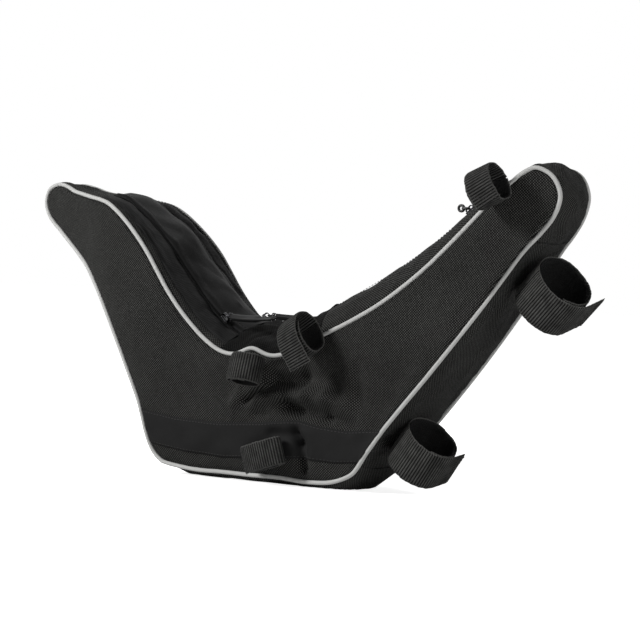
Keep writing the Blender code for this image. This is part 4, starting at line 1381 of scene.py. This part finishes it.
def lid_pulls():
    """The sliders of the lid's zips with their bent wires and ribbed rubber pulls."""
    for label, side in SIDES:
        centre, axis = joint_frame("lid_pull_%s_swing" % label)
        _, along, sideways, out = perch(7.3, side * LID_ZIP_SHARE)
        place = centre - out * (BAIL_CENTRE - SLIDER_LIFT)
        slider_body("lid_slider_body_" + label, place, along, sideways, out, ["lid_slider_" + label],
                    "lid_zipper_" + label)
        body = "lid_pull_" + label
        way = node_places("lid_pull_tube_" + label).mean(0) - centre
        way = unit(way - axis * (way @ axis))
        over = np.cross(way, axis)
        over = over * np.sign(over @ out)
        bend = [(WIRE_LENGTH, -0.0012), (0.5 * WIRE_LENGTH, -0.0021), (0.0016, -WIRE_HALF_WIDTH),
                (0.0003, -0.0015), (0.0, 0.0), (0.0003, 0.0015), (0.0016, WIRE_HALF_WIDTH),
                (0.5 * WIRE_LENGTH, 0.0021), (WIRE_LENGTH, 0.0012)]
        flat = smooth_path(bend, 60)
        path = centre + flat[:, :1] * way + flat[:, 1:] * axis
        item = tube("lid_pull_wire_bow_" + label, path, WIRE_RADIUS, 10, METAL, hint=over)
        put(item, body, ["lid_pull_wire_" + label])
        turns = np.linspace(0.0, CURL_TURN * TAU, 70)
        curl = centre + way * (0.0046 + 0.0024 * turns[:, None] / (CURL_TURN * TAU))
        curl = curl + CURL_RADIUS * (np.cos(turns)[:, None] * axis + np.sin(turns)[:, None] * over)
        put(tube("lid_pull_curl_" + label, curl, CURL_WIRE, 8, METAL, hint=way), body)
        share = np.linspace(0.0, 1.0, 46)
        ends = np.clip(np.minimum(share / 0.03, (1.0 - share) / 0.03), 0.0, 1.0)
        ends = 0.35 + 0.65 * np.sqrt(1.0 - (1.0 - ends) ** 2)
        flatten = np.clip((share - 0.62) / 0.12, 0.0, 1.0)
        wide = PULL_RADIUS * (1.0 - 0.10 * flatten) * ends
        high = PULL_RADIUS * (1.0 - 0.42 * flatten) * ends
        turn = TAU * np.arange(30) / 30
        ribs = 1.0 + 0.07 * np.cos(6.0 * turn)
        middle = centre + way * (PULL_START + PULL_LENGTH * share)[:, None]
        middle = middle + over * (PULL_LIFT * share**2)[:, None]
        middle[:, 1] -= side * PULL_INWARD * share**2
        rings = middle[:, None] + (wide[:, None] * ribs * np.cos(turn))[..., None] * axis
        rings = rings + (high[:, None] * ribs * np.sin(turn))[..., None] * over
        uvs = np.stack(np.broadcast_arrays((PULL_LENGTH * share)[:, None], turn[None] * PULL_RADIUS), -1)
        item = sweep("lid_pull_sleeve_" + label, rings, RUBBER, uvs)
        put(item, body, ["lid_pull_tube_" + label])


def link_from_node(name, node, body):
    """A smooth wire link with the place and size of a packed one."""
    places = node_places(node)
    centre = 0.5 * (places.max(0) + places.min(0))
    _, _, axes = np.linalg.svd(places - places.mean(0), full_matrices=False)
    reach = [np.abs((places - centre) @ a).max() - RING_RADIUS for a in axes[:2]]
    turn = TAU * np.arange(48) / 48
    straight = max(reach[0] - reach[1], 0.0)
    ahead = reach[1] * np.cos(turn) + straight * np.tanh(4.0 * np.cos(turn))
    path = centre + np.stack([ahead, reach[1] * np.sin(turn)], -1) @ axes[:2]
    item = tube(name, path, RING_RADIUS, 10, DARK_METAL, closed=True, hint=axes[2])
    put(item, body, [node])


def front_pull():
    centre, _ = joint_frame("front_pull_swing")
    _, along, sideways, out = perch(13.75, 0.0)
    slider_body("front_slider_body", centre - out * (BAIL_CENTRE - SLIDER_LIFT), along, sideways, out,
                ["front_slider"], "front_zipper")
    link_from_node("front_link_wire", "front_pull_link", "front_pull")
    link_from_node("front_ring_wire", "front_pull_ring", "front_pull")


def carried_parts():
    """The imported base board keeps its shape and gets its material."""
    board = frame["nodes"]["base_board"]
    board.data.materials.clear()
    board.data.materials.append(BOARD)


# The camera, fitted to the photograph
VIEW_TURN = math.radians(34.0)
VIEW_RISE = math.radians(2.2)
VIEW_ROLL = math.radians(2.2)
VIEW_DISTANCE = 2.000
VIEW_CENTRE = (0.010, 0.0, 0.134)
PIXEL = 0.0009
FRAME_PIXELS = 640
CENTRE_DROP = 15.0


def camera():
    back = np.array([math.sin(VIEW_TURN) * math.cos(VIEW_RISE),
                     -math.cos(VIEW_TURN) * math.cos(VIEW_RISE), math.sin(VIEW_RISE)])
    level = np.array([math.cos(VIEW_TURN), math.sin(VIEW_TURN), 0.0])
    upright = np.cross(back, level)
    right = level * math.cos(VIEW_ROLL) + upright * math.sin(VIEW_ROLL)
    up = np.cross(back, right)
    data = bpy.data.cameras.new("camera")
    data.sensor_width = 36.0
    data.lens = 36.0 * VIEW_DISTANCE / (PIXEL * FRAME_PIXELS)
    data.shift_y = CENTRE_DROP / FRAME_PIXELS
    data.clip_start = 0.1
    data.clip_end = 50.0
    item = bpy.data.objects.new("camera", data)
    matrix = Matrix((right, up, back)).transposed().to_4x4()
    matrix.translation = Vector(np.array(VIEW_CENTRE) + back * VIEW_DISTANCE)
    item.matrix_world = matrix
    bpy.context.scene.collection.objects.link(item)
    bpy.context.scene.camera = item


def area_light(name, place, target, size, power):
    data = bpy.data.lights.new(name, "AREA")
    data.shape = "RECTANGLE"
    data.size, data.size_y = size
    data.energy = power
    item = bpy.data.objects.new(name, data)
    item.location = place
    item.rotation_mode = "QUATERNION"
    item.rotation_quaternion = (Vector(target) - Vector(place)).to_track_quat("-Z", "Y")
    bpy.context.scene.collection.objects.link(item)


def seen_by(tree, *rays):
    """1 for the rays named, else 0."""
    path = tree.nodes.new("ShaderNodeLightPath")
    result = path.outputs[rays[0]]
    for ray in rays[1:]:
        result = computed(tree, "MAXIMUM", result, path.outputs[ray])
    return result


def studio():
    """White surroundings for the camera and for reflections, softer light on the object, and a floor."""
    world = bpy.data.worlds.new("studio")
    world.use_nodes = True
    bpy.context.scene.world = world
    tree = world.node_tree
    background = tree.nodes["Background"]
    background.inputs["Color"].default_value = (1.0, 1.0, 1.0, 1.0)
    seen = seen_by(tree, "Is Camera Ray", "Is Glossy Ray", "Is Transmission Ray")
    tree.links.new(mapped(tree, seen, 0.0, 1.0, 0.05, 1.0), background.inputs["Strength"])
    bpy.ops.mesh.primitive_plane_add(size=12.0, location=(0.0, 0.0, -0.0004))
    floor = bpy.context.active_object
    floor.name = "floor"
    material = bpy.data.materials.new("floor")
    material.use_nodes = True
    tree = material.node_tree
    shader = tree.nodes["Principled BSDF"]
    shader.inputs["Base Color"].default_value = (0.85, 0.85, 0.85, 1.0)
    shader.inputs["Roughness"].default_value = 0.9
    shader.inputs["Specular IOR Level"].default_value = 0.0
    glow = tree.nodes.new("ShaderNodeEmission")
    both = tree.nodes.new("ShaderNodeAddShader")
    coordinates = tree.nodes.new("ShaderNodeTexCoord")
    away = tree.nodes.new("ShaderNodeVectorMath")
    away.operation = "LENGTH"
    tree.links.new(coordinates.outputs["Object"], away.inputs[0])
    fade = mapped(tree, away.outputs["Value"], 0.35, 1.20, 0.86, 1.00)
    level = computed(tree, "MULTIPLY", seen_by(tree, "Is Camera Ray"), fade)
    tree.links.new(level, glow.inputs["Strength"])
    tree.links.new(shader.outputs[0], both.inputs[0])
    tree.links.new(glow.outputs[0], both.inputs[1])
    tree.links.new(both.outputs[0], tree.nodes["Material Output"].inputs["Surface"])
    floor.data.materials.append(material)
    area_light("key", (-1.30, -1.95, 1.45), (0.0, 0.0, 0.12), (0.60, 0.60), 92.0)
    area_light("side", (1.7, -0.4, 0.45), (0.1, 0.0, 0.15), (0.6, 0.8), 14.0)
    area_light("back", (-0.2, 0.9, 1.4), (-0.05, 0.0, 0.18), (0.5, 0.4), 4.0)
    bpy.context.scene.view_settings.view_transform = "Standard"


side_panels()
foam_boards()
bands()
pipings()
gussets()
lids()
front_zip()
loops()
lid_pulls()
front_pull()
carried_parts()
camera()
studio()
